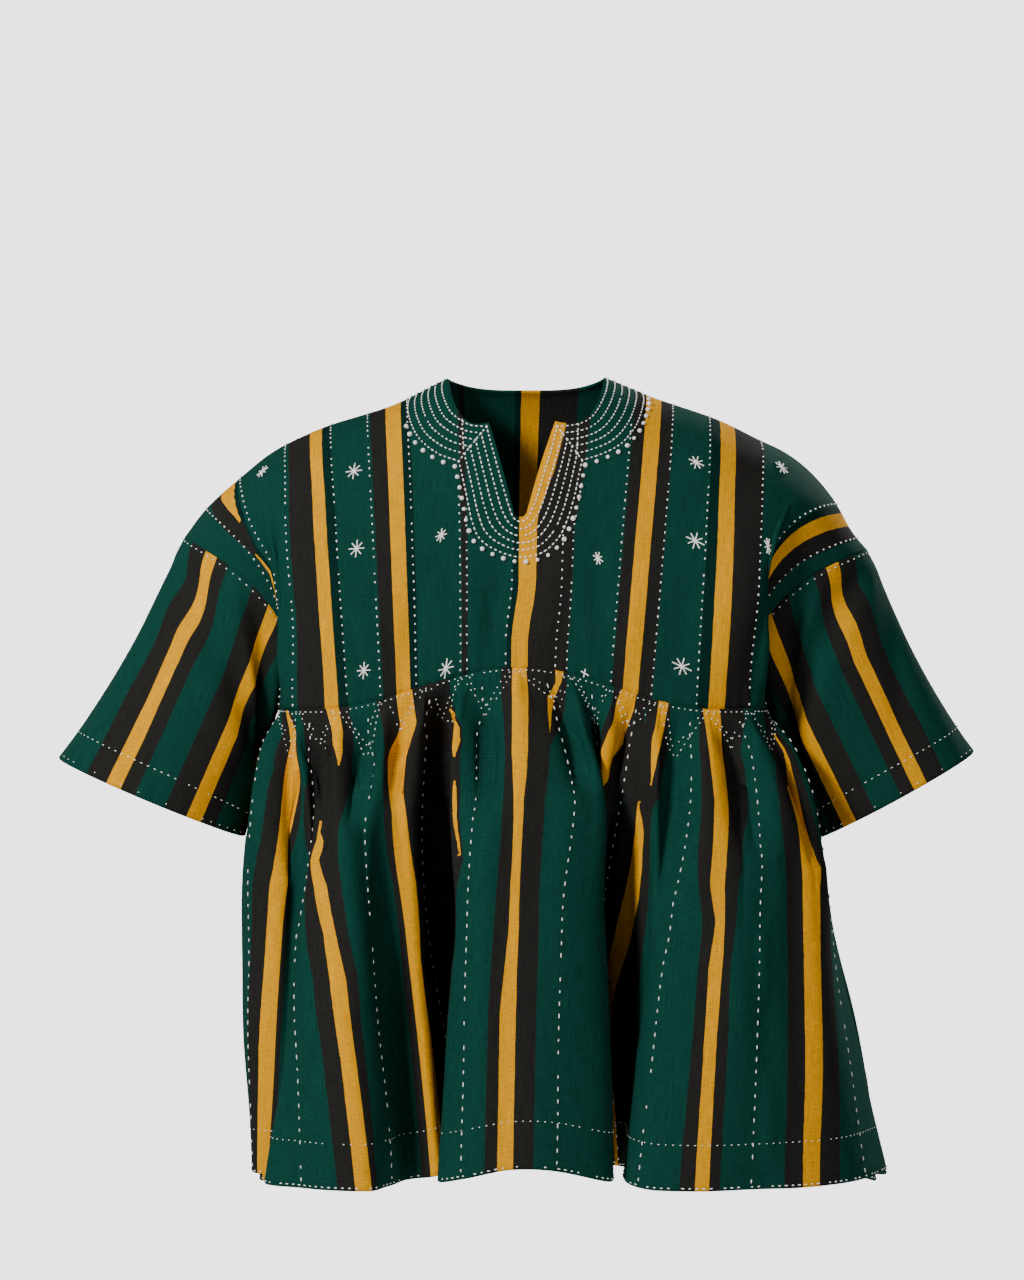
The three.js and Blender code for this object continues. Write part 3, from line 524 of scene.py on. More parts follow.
def hem_z(x, y):
    lift = HEM["front_lift"] * bell(x / HEM["lift_half_width"]) * (y < 0)
    side = HEM["side_drop"] * ramp((y + HEM["side_depth"]) / HEM["side_depth"])
    return HEM["z"] + lift - side - HEM["back_drop"] * ramp(y / HEM["turn_depth"])


def gather_height(along, below, tucks):
    """How far the cloth swells out between its tucks, below the seam."""
    tucks = np.asarray(tucks, float)
    i = np.clip(np.searchsorted(tucks, along) - 1, 0, len(tucks) - 2)
    across = np.clip((along - tucks[i]) / (tucks[i + 1] - tucks[i]), 0, 1)
    opened = ramp((below - GATHERS["tuck"] * np.abs(2 * across - 1)) / GATHERS["opening"])
    fade = 1 - ramp((below - GATHERS["fade_from"]) / GATHERS["fade_over"])
    return GATHERS["height"] * opened * fade * np.sin(np.pi * across) ** GATHERS["roundness"]


def front_skirt_point(cloth, share):
    read = read_columns(FRONT_FOLDS, FOLD_COLUMNS, cloth)
    top = gather_point(read["seam"], "front")
    x = curve_through(LEVELS, [top[..., 0], read["hip_x"], read["middle_x"], read["hem_x"]], share)
    y = curve_through(LEVELS, [top[..., 1], read["hip_y"], read["middle_y"], read["hem_y"]], share)
    z = top[..., 2] + (hem_z(read["hem_x"], read["hem_y"]) - top[..., 2]) * share
    out = gather_height(read["seam"], share * SKIRT_LENGTH, FRONT_TUCKS)
    return pack(x, y, z) + gather_outward(read["seam"], "front") * out[..., None]


def back_fold(around):
    """How far the folds of the back skirt stand out at the hem."""
    widths = np.array([width for width, _ in BACK_FOLDS])
    reaches = np.array([reach for _, reach in BACK_FOLDS], float)
    starts = np.concatenate([[0], np.cumsum(widths)])
    left = around * starts[-1]
    i = np.clip(np.searchsorted(starts, left, side="right") - 1, 0, len(widths) - 1)
    return reaches[i] * np.sin(np.pi * np.clip((left - starts[i]) / widths[i], 0, 1)) ** 2


def back_skirt_point(around, share):
    plan = {name: curve_through(LEVELS, [row[k] for row in BACK_PLAN], share)
            for k, name in enumerate(PLAN_COLUMNS)}
    along = (2 * around - 1) * SEAM_HALF
    seam = gather_point(along, "back")
    side = np.sign(along)
    grow = np.where(side < 0, plan["right"], plan["left"])
    wider = (grow - side * GATHER["centre"]) / GATHER["half_width"]
    x = (seam[..., 0] - GATHER["centre"]) * wider + GATHER["centre"]
    y = seam[..., 1] * (plan["depth"] / GATHER["back"])
    away = plan["fold_share"] * back_fold(around) + gather_height(along, share * SKIRT_LENGTH, BACK_TUCKS)
    z = seam[..., 2] + (hem_z(x, y + away) - seam[..., 2]) * share
    return pack(x, y, z) + gather_outward(along, "back") * away[..., None]


# ---------------------------------------------------------------- form of the sleeves


def point_at(line, share):
    """Points on a closed line at shares of its length."""
    lengths = lengths_along(line)
    reach = np.asarray(share, float) % 1 * lengths[-1]
    return np.stack([np.interp(reach, lengths, line[:, k]) for k in range(3)], axis=-1)


def armhole_loop(side):
    """The edge of the body that a sleeve is sewn to, down its front and up its back."""
    cloth = BODY_LINES[-1][0] if side == "left" else BODY_LINES[0][0]
    shares = np.linspace(0, 1, 41)
    columns = np.full(41, float(cloth))
    front = body_point(columns, shares, "front")
    back = body_point(columns, 1 - shares, "back")
    return np.concatenate([front, back[1:]])


def cuff_loop(side):
    cuff = CUFF[side]
    tip, inner = np.array(cuff["tip"], float), np.array(cuff["inner"], float)
    centre = (tip + inner) / 2
    angle = np.linspace(0, 2 * np.pi, 81)[:, None]
    forward = np.array([0, -cuff["half_depth"], 0])
    return centre + (tip - centre) * np.cos(angle) + forward * np.sin(angle)


def sleeve_former(side):
    """The form of a sleeve from the armhole to the cuff, with its drag folds sunk in."""
    armhole, cuff = armhole_loop(side), cuff_loop(side)
    outward = 1 if side == "left" else -1
    size = np.array([SLEEVE["girth"], SLEEVE["length"]])

    def smooth(around, share):
        top = (around - SLEEVE["turn"] / 2) % 1
        start = point_at(armhole, top)
        end = point_at(cuff, around + SLEEVE["turn"] / 2)
        under = bell((top - 0.5) / SLEEVE["underarm_half"])
        out = SLEEVE["underarm_clear"] * (1 - share) + SLEEVE["bulge"] * np.sin(np.pi * share)
        return start + (end - start) * share[..., None] + pack(outward * under * out, 0, 0)

    def sunk(around, share):
        around, share = np.broadcast_arrays(np.asarray(around, float), np.asarray(share, float))
        point = smooth(around, share)
        inward = unit(smooth(around + 0.5, share) - point)
        flat = np.stack([around % 1, share], axis=-1) * size
        sink = np.zeros_like(share)
        for a0, s0, a1, s1, width, depth in SLEEVE_FOLDS[side]:
            away, _ = stretch_distance(flat, np.array([a0, s0]) * size, np.array([a1, s1]) * size)
            sink = np.maximum(sink, depth * bell(away / (2 * width)))
        return point + inward * (sink * ramp(share * 8))[..., None]

    return sunk


# ---------------------------------------------------------------- creases and panels


def pleat_height(flat, tucks, pleats, seams, cloth):
    """How far the pleats below the tucks sink, each with a sharp bottom."""
    height = np.zeros(flat.shape[:-1])
    for tuck, (reach, lean, half_width, depth) in zip(tucks, pleats):
        at = float(np.interp(tuck, seams, cloth))
        away, share = stretch_distance(flat, (at, PLEAT_TOP), (at + lean, reach))
        fade = np.sin(np.pi * np.clip(0.16 + 0.84 * share, 0, 1)) ** 0.7
        height = np.minimum(height, -depth * fade * np.clip(1 - away / half_width, 0, 1) ** 1.5)
    return height


def crease_height(flat, creases):
    height = np.zeros(flat.shape[:-1])
    for x0, y0, x1, y1, half_width, rise in creases:
        away, share = stretch_distance(flat, (x0, y0), (x1, y1))
        fade = 0.35 + 0.65 * np.sin(np.pi * np.clip(share, 0.02, 0.98))
        height += rise * bell(away / (1.6 * half_width)) * fade
    return height


def unevenness(flat):
    """The slight waviness of hand-sewn strips."""
    x, y = flat[..., 0], flat[..., 1]
    return (0.45 * np.sin(x / 13.0 + 0.9 * np.sin(y / 41.0)) + 0.40 * np.sin(y / 21.0 + x / 53.0)
            + 0.35 * np.sin((x - y) / 29.0 + 1.3))


def grid_normals(points, ring):
    if ring:
        wide = np.concatenate([points[-2:-1], points, points[1:2]])
        across = wide[2:] - wide[:-2]
    else:
        across = np.gradient(points, axis=0)
    return unit(np.cross(across, np.gradient(points, axis=1)))


def outward_sign(form, column, share, outward):
    """Which way round across and down give a normal that points out of the garment."""
    c = np.array([column - 0.01, column + 0.01, column, column])
    s = np.array([share, share, share - 0.01, share + 0.01])
    p = form(c, s)
    return 1 if np.cross(p[1] - p[0], p[3] - p[2]) @ np.array(outward, float) > 0 else -1


class Panel:
    """One piece of cloth: a grid of columns across and rows down, with an outside and an inside face."""

    def __init__(self, columns, shares, form, flat, creases, out_sign, thickness,
                 ring=False, pucker=None, aside=None):
        self.columns = columns
        self.shares = shares
        self.out_sign = out_sign
        self.ring = ring
        across = np.repeat(columns[:, None], shares.shape[1], axis=1)
        self.flat = flat(across, shares)

        def height(spread):
            rise = crease_height(spread, creases) + unevenness(spread)
            if pucker is not None:
                rise += pucker(spread)
            quiet = ramp((spread[..., 1] - self.flat[:, :1, 1]) / FADES["seam"])
            if ring:
                around = spread[..., 0]
                quiet = quiet * ramp(np.minimum(around, around.max() - around) / FADES["underarm"])
            return (rise * quiet)[..., None]

        def raised(shift, lift):
            return form(across + shift, shares) + lift * height(flat(across + shift, shares))

        def outward(points, lift):
            """Where the top is cut away the rows slant, and the neighbours are taken beside each point."""
            if aside is None:
                return grid_normals(points, ring) * out_sign
            between = raised(aside, lift) - raised(-aside, lift)
            return unit(np.cross(between, np.gradient(points, axis=1))) * out_sign

        points = form(across, shares)
        normals = outward(points, 0)
        points = points + normals * height(self.flat)
        self.normals = outward(points, normals)
        self.outside = points + self.normals * (WALL / 2)
        self.inside = points + self.normals * (WALL / 2 - thickness[..., None])

    def lay(self, column, share, lift):
        """Points on the outside of the cloth, raised off it by lift."""
        column, share = np.broadcast_arrays(np.asarray(column, float), np.asarray(share, float))
        i = np.interp(column, self.columns, np.arange(len(self.columns)))
        low = np.clip(np.floor(i).astype(int), 0, len(self.columns) - 2)
        raised = self.outside + self.normals * lift
        laid = []
        for column_low, part, wanted in zip(low, i - low, share):
            sides = []
            for k in (column_low, column_low + 1):
                j = np.interp(wanted, self.shares[k], np.arange(self.shares.shape[1]))
                at = min(int(j), self.shares.shape[1] - 2)
                sides.append(raised[k, at] * (1 - (j - at)) + raised[k, at + 1] * (j - at))
            laid.append(sides[0] * (1 - part) + sides[1] * part)
        return np.array(laid) * MM


def panel_mesh(name, panel, marks, material):
    """Closes a panel's two faces with rounded edges, and gives it its cloth and stripe coordinates."""
    columns, rows = panel.outside.shape[:2]
    middle = (panel.outside + panel.inside) / 2
    half = np.linalg.norm(panel.outside - panel.inside, axis=-1, keepdims=True) / 2
    down = unit(np.gradient(panel.outside, axis=1)) * half * EDGE_REACH["wall"]
    across = unit(np.gradient(panel.outside, axis=0)) * EDGE_REACH["side"]
    edges = [(np.s_[:, 0], -down, -1), (np.s_[:, -1], down, 1)]
    if not panel.ring:
        edges += [(np.s_[0], -across, 1), (np.s_[-1], across, -1)]
    quads = []

    def join(a, b):
        quads.append(np.stack([a[:-1], b[:-1], b[1:], a[1:]], axis=-1).reshape(-1, 4))

    outer = np.arange(columns * rows).reshape(columns, rows)
    inner = outer + columns * rows
    join(outer[:, :-1], outer[:, 1:])
    join(inner[:, 1:], inner[:, :-1])
    used = 2 * columns * rows
    for edge, _, turn in edges:
        rim = used + np.arange(len(outer[edge]))
        used += len(rim)
        lines = [outer[edge], rim, inner[edge]][::turn]
        join(lines[0], lines[1])
        join(lines[1], lines[2])
    faces = np.concatenate(quads)
    if panel.out_sign > 0:
        # Turned about its first corner, so that each face keeps the diagonal it is split along.
        faces = faces[:, [0, 3, 2, 1]]

    rims = [(middle + reach)[edge] for edge, reach, _ in edges]
    points = np.concatenate([panel.outside.reshape(-1, 3), panel.inside.reshape(-1, 3)] + rims) * MM
    mesh = bpy.data.meshes.new(name)
    mesh.from_pydata(points.tolist(), [], faces.tolist())
    for label, grid in (("cloth", panel.flat * MM), ("stripe", marks)):
        spread = np.concatenate([grid.reshape(-1, 2)] * 2 + [grid[edge] for edge, _, _ in edges])
        layer = mesh.uv_layers.new(name=label)
        layer.data.foreach_set("uv", spread[faces.ravel()].astype(np.float32).ravel())
    mesh.shade_smooth()
    mesh.materials.append(material)
    mesh.update()
    if panel.ring:
        close_ring(mesh)
    return place_object(name, mesh)


def close_ring(mesh):
    """Welds the first and last columns of a tube, whose points are in the same places."""
    work = bmesh.new()
    work.from_mesh(mesh)
    bmesh.ops.remove_doubles(work, verts=work.verts, dist=0.00002)
    work.to_mesh(mesh)
    work.free()


# ---------------------------------------------------------------- nodes and materials

# Metres from one thread of the weave to the next.
THREAD_SPACING = 0.0014


def feed(tree, socket, value):
    if isinstance(value, bpy.types.NodeSocket):
        tree.links.new(value, socket)
    else:
        socket.default_value = value


def add(tree, kind, settings=None, **inputs):
    """A new node with its settings, and with a value or a link for each named input, with _ for a space."""
    node = tree.nodes.new(kind)
    for name, value in (settings or {}).items():
        setattr(node, name, value)
    for name, value in inputs.items():
        feed(tree, node.inputs[name.replace("_", " ")], value)
    return node


def maths(tree, operation, *values):
    node = add(tree, "ShaderNodeMath", {"operation": operation})
    for socket, value in zip(node.inputs, values):
        feed(tree, socket, value)
    return node.outputs[0]


def new_material(name, roughness):
    material = bpy.data.materials.new(name)
    material.use_nodes = True
    shader = material.node_tree.nodes["Principled BSDF"]
    shader.inputs["Roughness"].default_value = roughness
    return material, material.node_tree, shader


def colour_ramp(tree, place, stops, interpolation):
    node = add(tree, "ShaderNodeValToRGB", Fac=place)
    node.color_ramp.interpolation = interpolation
    made = node.color_ramp.elements
    made.remove(made[1])
    for k, (position, colour) in enumerate(stops):
        stop = made.new(position) if k else made[0]
        stop.position = position
        stop.color = (*colour, 1)
    return node.outputs["Color"]


def raise_surface(tree, shader, height, strength, distance):
    bump = add(tree, "ShaderNodeBump", Strength=strength, Distance=distance, Height=height)
    feed(tree, shader.inputs["Normal"], bump.outputs["Normal"])


def strip_cloth(name, stripes, span, repeats):
    """Hand-loomed plain weave with woven stripes. The stripe map says where a point lies in the pattern."""
    material, tree, shader = new_material(name, 0.86)
    shader.inputs["Specular IOR Level"].default_value = 0.03
    cloth = add(tree, "ShaderNodeUVMap", {"uv_map": "cloth"}).outputs["UV"]
    marks = add(tree, "ShaderNodeUVMap", {"uv_map": "stripe"}).outputs["UV"]
    marks = add(tree, "ShaderNodeSeparateXYZ", Vector=marks).outputs
    wobble = add(tree, "ShaderNodeTexNoise", Vector=cloth, Scale=90, Detail=1).outputs["Fac"]
    wobble = maths(tree, "SUBTRACT", wobble, 0.5)
    waver = WAVER["strips" if repeats else "mm"]
    place = maths(tree, "ADD", marks["X"], maths(tree, "MULTIPLY", wobble, waver))
    low, high = span
    if repeats:
        place = maths(tree, "FRACT", place)
    else:
        place = maths(tree, "DIVIDE", maths(tree, "SUBTRACT", place, low), high - low)
    stops = [((start - low) / (high - low), colour) for start, colour in stripes]
    woven = colour_ramp(tree, place, stops, "CONSTANT")
    # Black painted where a colour is folded away: the stripes' own black, and painted shade where it covers
    # green in the deep folds.
    fold_and_shade_black = maths(tree, "GREATER_THAN", marks["Y"], 0.5)
    woven = add(tree, "ShaderNodeMix", {"data_type": "RGBA"}, Factor=fold_and_shade_black, A=woven, B=(*BLACK, 1))

    # Slubs: threads that run thicker or paler for a stretch, along the warp and across it.
    streaks = []
    for scale in ((2200, 40, 1), (110, 2200, 1)):
        stretched = add(tree, "ShaderNodeMapping", Vector=cloth, Scale=scale).outputs["Vector"]
        streaks.append(add(tree, "ShaderNodeTexNoise", Vector=stretched, Scale=1, Detail=2).outputs["Fac"])
    slubs = maths(tree, "ADD", *streaks)
    level = add(tree, "ShaderNodeMapRange", Value=slubs, From_Min=0.7, From_Max=1.3, To_Min=0.66, To_Max=1.42)
    shade = add(tree, "ShaderNodeMix", {"data_type": "RGBA", "blend_type": "MULTIPLY"}, Factor=1,
                A=woven.outputs["Result"], B=level.outputs["Result"])
    feed(tree, shader.inputs["Base Color"], shade.outputs["Result"])

    # The weave: warp and weft as two sets of waves a thread apart.
    way = add(tree, "ShaderNodeSeparateXYZ", Vector=cloth).outputs
    turns = 2 * math.pi / THREAD_SPACING
    warp = maths(tree, "SINE", maths(tree, "MULTIPLY", way["X"], turns))
    weft = maths(tree, "SINE", maths(tree, "MULTIPLY", way["Y"], turns * 0.85))
    height = maths(tree, "ADD", maths(tree, "MULTIPLY", warp, weft), maths(tree, "MULTIPLY", slubs, 1.6))
    raise_surface(tree, shader, height, 0.45, 0.0003)
    return material


def cotton_thread():
    material, tree, shader = new_material("cotton thread", 0.8)
    place = add(tree, "ShaderNodeTexCoord").outputs["Object"]
    twist = add(tree, "ShaderNodeTexNoise", Vector=place, Scale=1400, Detail=2).outputs["Fac"]
    tint = colour_ramp(tree, twist, [(0, WORN_THREAD), (1, THREAD)], "LINEAR")
    feed(tree, shader.inputs["Base Color"], tint)
    raise_surface(tree, shader, twist, 0.3, 0.0002)
    return material


# ---------------------------------------------------------------- stitches, knots and laid threads


def start_tree(name, **sizes):
    """A new tree whose named inputs end with the material. Gives the tree, the inputs, and their sockets."""
    tree = bpy.data.node_groups.new(name, "GeometryNodeTree")
    tree.is_modifier = True
    face = tree.interface
    face.new_socket(name="Geometry", in_out="INPUT", socket_type="NodeSocketGeometry")
    names = {}
    for label, value in sizes.items():
        kind = "NodeSocketInt" if isinstance(value, int) else "NodeSocketFloat"
        socket = face.new_socket(name=label, in_out="INPUT", socket_type=kind)
        socket.default_value = value
        names[label] = socket.identifier
    socket = face.new_socket(name="Material", in_out="INPUT", socket_type="NodeSocketMaterial")
    names["Material"] = socket.identifier
    face.new_socket(name="Geometry", in_out="OUTPUT", socket_type="NodeSocketGeometry")
    return tree, add(tree, "NodeGroupInput").outputs, names


def finish_tree(tree, given, geometry):
    real = add(tree, "GeometryNodeRealizeInstances", Geometry=geometry)
    smooth = add(tree, "GeometryNodeSetShadeSmooth", Geometry=real.outputs["Geometry"])
    finish = add(tree, "GeometryNodeSetMaterial", Geometry=smooth.outputs["Geometry"],
                 Material=given["Material"])
    add(tree, "NodeGroupOutput", Geometry=finish.outputs["Geometry"])


def random_value(tree, kind, seed, *values):
    """A random factor between two values, or a random yes or no with the given chance of a yes."""
    node = add(tree, "FunctionNodeRandomValue", {"data_type": kind}, Seed=seed)
    used = [socket for socket in node.inputs if socket.enabled and socket.name not in ("ID", "Seed")]
    for socket, value in zip(used, values):
        feed(tree, socket, value)
    return [socket for socket in node.outputs if socket.enabled][0]


def laid_lines(tree, given):
    return add(tree, "GeometryNodeMeshToCurve", Mesh=given["Geometry"]).outputs["Curve"]


def spaced_points(tree, given):
    spaced = add(tree, "GeometryNodeResampleCurve", {"mode": "LENGTH"},
                 Curve=laid_lines(tree, given), Length=given["Pitch"])
    return spaced.outputs["Curve"]


def stitch_tree():
    """Running stitches: one rounded stitch at every pitch along each line."""
    tree, given, names = start_tree("running stitches", Pitch=0.007, Length=0.004, Width=0.0016,
                                    Kept=0.94, Seed=1)
    along = add(tree, "GeometryNodeInputTangent").outputs["Tangent"]
    turn = add(tree, "FunctionNodeAlignRotationToVector", {"axis": "X"}, Vector=along)
    stitch = add(tree, "GeometryNodeMeshUVSphere", Segments=6, Rings=5, Radius=0.5)
    length = maths(tree, "MULTIPLY", given["Length"], random_value(tree, "FLOAT", given["Seed"], 0.66, 1.14))
    size = add(tree, "ShaderNodeCombineXYZ", X=length, Y=given["Width"], Z=given["Width"])
    place = add(tree, "GeometryNodeInstanceOnPoints", Points=spaced_points(tree, given),
                Selection=random_value(tree, "BOOLEAN", given["Seed"], given["Kept"]),
                Instance=stitch.outputs["Mesh"], Rotation=turn.outputs["Rotation"],
                Scale=size.outputs["Vector"])
    finish_tree(tree, given, place.outputs["Instances"])
    return tree, names


def knot_tree():
    """French knots: one round knot at every pitch along each line."""
    tree, given, names = start_tree("french knots", Pitch=0.009, Size=0.0045, Seed=3)
    knot = add(tree, "GeometryNodeMeshIcoSphere", Radius=0.5, Subdivisions=2)
    size = maths(tree, "MULTIPLY", given["Size"], random_value(tree, "FLOAT", given["Seed"], 0.82, 1.15))
    place = add(tree, "GeometryNodeInstanceOnPoints", Points=spaced_points(tree, given),
                Instance=knot.outputs["Mesh"], Scale=size)
    finish_tree(tree, given, place.outputs["Instances"])
    return tree, names


def thread_tree():
    """Laid threads: each line becomes one strand of thread."""
    tree, given, names = start_tree("laid threads", Width=0.0016)
    circle = add(tree, "GeometryNodeCurvePrimitiveCircle", Resolution=6,
                 Radius=maths(tree, "MULTIPLY", given["Width"], 0.5))
    strand = add(tree, "GeometryNodeCurveToMesh", Curve=laid_lines(tree, given),
                 Profile_Curve=circle.outputs["Curve"], Fill_Caps=True)
    finish_tree(tree, given, strand.outputs["Mesh"])
    return tree, names


def grow(name, lines, made_tree, **values):
    """Runs a tree on a set of lines, and keeps the result as a plain mesh."""
    tree, names = made_tree
    points, edges = [], []
    for line in lines:
        first = len(points)
        points += [tuple(p) for p in line]
        edges += [(first + k, first + k + 1) for k in range(len(line) - 1)]
    guide_mesh = bpy.data.meshes.new(name + "_guide")
    guide_mesh.from_pydata(points, edges, [])
    guide = place_object(name + "_guide", guide_mesh)
    modifier = guide.modifiers.new("grow", "NODES")
    modifier.node_group = tree
    for label, value in values.items():
        modifier[names[label]] = value
    bpy.context.view_layer.update()
    view = bpy.context.evaluated_depsgraph_get()
    mesh = bpy.data.meshes.new_from_object(guide.evaluated_get(view), depsgraph=view)
    bpy.data.objects.remove(guide)
    bpy.data.meshes.remove(guide_mesh)
    mesh.name = name
    return place_object(name, mesh)


# ---------------------------------------------------------------- camera, light and floor

# Places and sizes here are in metres.
CAMERA = {"place": (-0.013, -3.0, -0.244), "lens": 90.8, "sensor": 36.0}
AIM = (0, 0, -0.35)
# Lamps: place, size, and power in watts.
LAMPS = {
    "key": ((-1.95, -2.25, 1.3), 0.6, 150),
    "fill": ((2.2, -2.3, 0.4), 0.8, 20),
    "back key": ((1.95, 2.25, 1.3), 0.6, 140),
    "back fill": ((-2.2, 2.3, 0.4), 0.8, 20),
}
FLOOR = {"radius": 2.3, "z": -1.45, "sides": 64}


def set_camera():
    lens = bpy.data.cameras.new("camera")
    lens.lens = CAMERA["lens"]
    lens.sensor_width = CAMERA["sensor"]
    camera = place_object("camera", lens)
    camera.location = CAMERA["place"]
    camera.rotation_euler = (math.pi / 2, 0, 0)
    bpy.context.scene.camera = camera


def set_lamps():
    for name, (place, size, power) in LAMPS.items():
        lamp = bpy.data.lights.new(name, "AREA")
        lamp.size = size
        lamp.energy = power
        light = place_object(name, lamp)
        light.location = place
        light.rotation_euler = (Vector(AIM) - Vector(place)).to_track_quat("-Z", "Y").to_euler()


def set_backdrop():
    """A dim even light on the smock, and a bright even backdrop behind it."""
    world = bpy.data.worlds.new("studio")
    world.use_nodes = True
    tree = world.node_tree
    soft = tree.nodes["Background"]
    soft.inputs["Color"].default_value = (1, 1, 1, 1)
    soft.inputs["Strength"].default_value = 0.06
    seen = add(tree, "ShaderNodeBackground", Color=(1, 0.985, 1, 1), Strength=3.1)
    either = add(tree, "ShaderNodeMixShader", Fac=add(tree, "ShaderNodeLightPath").outputs["Is Camera Ray"])
    feed(tree, either.inputs[1], soft.outputs[0])
    feed(tree, either.inputs[2], seen.outputs[0])
    feed(tree, tree.nodes["World Output"].inputs["Surface"], either.outputs[0])
    bpy.context.scene.world = world


def lay_floor():
    turns = np.linspace(0, 2 * math.pi, FLOOR["sides"] + 1)[:-1]
    ring = [(FLOOR["radius"] * math.cos(a), FLOOR["radius"] * math.sin(a), FLOOR["z"]) for a in turns]
    mesh = bpy.data.meshes.new("floor")
    mesh.from_pydata(ring, [], [list(range(len(ring)))])
    material, _, shader = new_material("pale floor", 0.8)
    shader.inputs["Base Color"].default_value = (0.74, 0.74, 0.75, 1)
    mesh.materials.append(material)
    place_object("floor", mesh)


# ---------------------------------------------------------------- the cloth pieces


def thicker(wall, share):
    """The thickness of the cloth, which goes over to the given wall where the share is 1."""
    return WALL + (wall - WALL) * share


def body_panel(face):
    ends = (BODY_LINES[0][0], BODY_LINES[-1][0])
    half = NECK["half_width"]
    near = [half - inset for inset in NECK_INSETS]
    keys = [*ends, half, -half, *near, *[-place for place in near]]
    keys += [NECK["slit_left"], SLIT["bottom_at"], NECK["slit_right"]]
    columns = evenly(sorted(keys), BODY_STEP)
    tops = body_shares(columns, [neck_drop(c, face) for c in columns], face)
    shares = tops[:, None] + (1 - tops[:, None]) * np.linspace(0, 1, BODY_ROWS)
    lengths = body_lengths(columns, shares, face)
    at_neck = (np.abs(columns) < half)[:, None]
    thickness = thicker(NECK_EDGE_WALL, (1 - ramp((lengths - lengths[:, :1]) / FADES["neck_edge"])) * at_neck)

    def form(cloth, share):
        return body_point(cloth, share, face)

    def flat(cloth, share):
        return np.stack([cloth, body_lengths(cloth[:, 0], share, face)], axis=-1)

    creases = FRONT_BODY_CREASES if face == "front" else BACK_BODY_CREASES
    sign = outward_sign(form, 20.0, 0.8, (0, FACING[face], 0))
    return Panel(columns, shares, form, flat, creases, sign, thickness, pucker=body_pucker, aside=0.8)


def body_pucker(flat):
    """The small bunches above the gather seam."""
    x, left = flat[..., 0], flat[:, -1:, 1] - flat[..., 1]
    waves = np.sin(2 * np.pi * x / BODY_PUCKER["spacing"] + 1.2 * np.sin(x / 37.0))
    return BODY_PUCKER["height"] * waves * np.exp(-left / BODY_PUCKER["fade"])


def seam_pucker(flat):
    """The small bunches that running stitches draw up just below the gather seam."""
    x, y = flat[..., 0], flat[..., 1]
    waves = np.sin(2 * np.pi * x / SKIRT_PUCKER["spacing"] + 1.4 * np.sin(x / 31.0))
    waves = waves * (0.65 + 0.35 * np.sin(x / 17.0))
    return SKIRT_PUCKER["height"] * waves * np.exp(-y / SKIRT_PUCKER["fade"])


def seam_to_cloth(face):
    """Places across the skirt's cloth, and where on the gather seam each of them is sewn."""
    if face == "front":
        cloths = np.linspace(FRONT_FOLDS[0][0], FRONT_FOLDS[-1][0], SEAM_SAMPLES)
        seams = read_columns(FRONT_FOLDS, FOLD_COLUMNS, cloths)["seam"]
        return cloths, np.maximum.accumulate(seams)
    cloths = np.linspace(0, 1, SEAM_SAMPLES)
    return cloths, (2 * cloths - 1) * SEAM_HALF


def skirt_panel(face):
    if face == "front":
        form, across, creases, middle = front_skirt_point, STRIP_WIDTH, FRONT_SKIRT_CREASES, 4.5
        tucks, pleats, keys = FRONT_TUCKS, FRONT_PLEATS, [fold[0] for fold in FRONT_FOLDS]
    else:
        form, across, creases, middle = back_skirt_point, STRIP_WIDTH * BACK_STRIPS, BACK_SKIRT_CREASES, 0.5
        tucks, pleats, keys = BACK_TUCKS, BACK_PLEATS, [0.0, 1.0]
    columns = evenly(keys, SKIRT_STEP / across)
    shares = np.repeat(np.linspace(0, 1, SKIRT_ROWS)[None] ** 1.15, len(columns), axis=0)
    cloths, seams = seam_to_cloth(face)

    def flat(cloth, share):
        return np.stack([cloth * across, share * SKIRT_LENGTH], axis=-1)

    def bunched(spread):
        return seam_pucker(spread) + pleat_height(spread, tucks, pleats, seams, cloths * across)

    sign = outward_sign(form, middle, 0.5, (0, FACING[face], 0))
    hem = ramp((shares - 1 + HEM_TURN / SKIRT_LENGTH) * HEM_PARTS)
    return Panel(columns, shares, form, flat, creases, sign, thicker(HEM_WALL, hem), pucker=bunched)


def sleeve_panel(side):
    columns = np.linspace(0, 1, SLEEVE_GRID[0])
    shares = np.repeat(np.linspace(0, 1, SLEEVE_GRID[1])[None], len(columns), axis=0)
    form = sleeve_former(side)

    def flat(around, share):
        return np.stack([around * SLEEVE["girth"], share * SLEEVE["length"]], axis=-1)

    sign = outward_sign(form, 0.02, 0.5, (1 if side == "left" else -1, 0, 0.4))
    hem = ramp((shares - 1 + CUFF_TURN / SLEEVE["length"]) * HEM_PARTS)
    return Panel(columns, shares, form, flat, SLEEVE_CREASES, sign, thicker(HEM_WALL, hem), ring=True)


# ---------------------------------------------------------------- stripes on the cloth

# Near the edge of a stripe the pattern runs equally fast on both sides, over this many strips, so that the
# edge stays smooth between the columns of the grid.
STRIPE_EDGE = 0.04
# A colour is folded away where it is this narrow, or where two strips come this close, and black is painted
# over it: the stripes' own black, and painted shade of the deep folds where it covers green. Its black
# reaches so far to both sides, at least and at most, and ends over a little. All are in strips.
FOLD_AND_SHADE = {"narrow": 0.012, "close": 0.03, "least": 0.05, "most": 0.09, "end": 0.08}
# The plain strips after the carried ones start this much later than their number.
LAST_SHIFT = 0.3
# Added to the place in the pattern, so that it is never below 0.
PATTERN_START = 10
# Around a sleeve the pattern starts here, and goes on behind its fold after a short stretch of green.
SLEEVE_PATTERN = {"start": -0.28, "over_fold": -0.21, "behind_from": 0.06, "behind_over": 0.44}


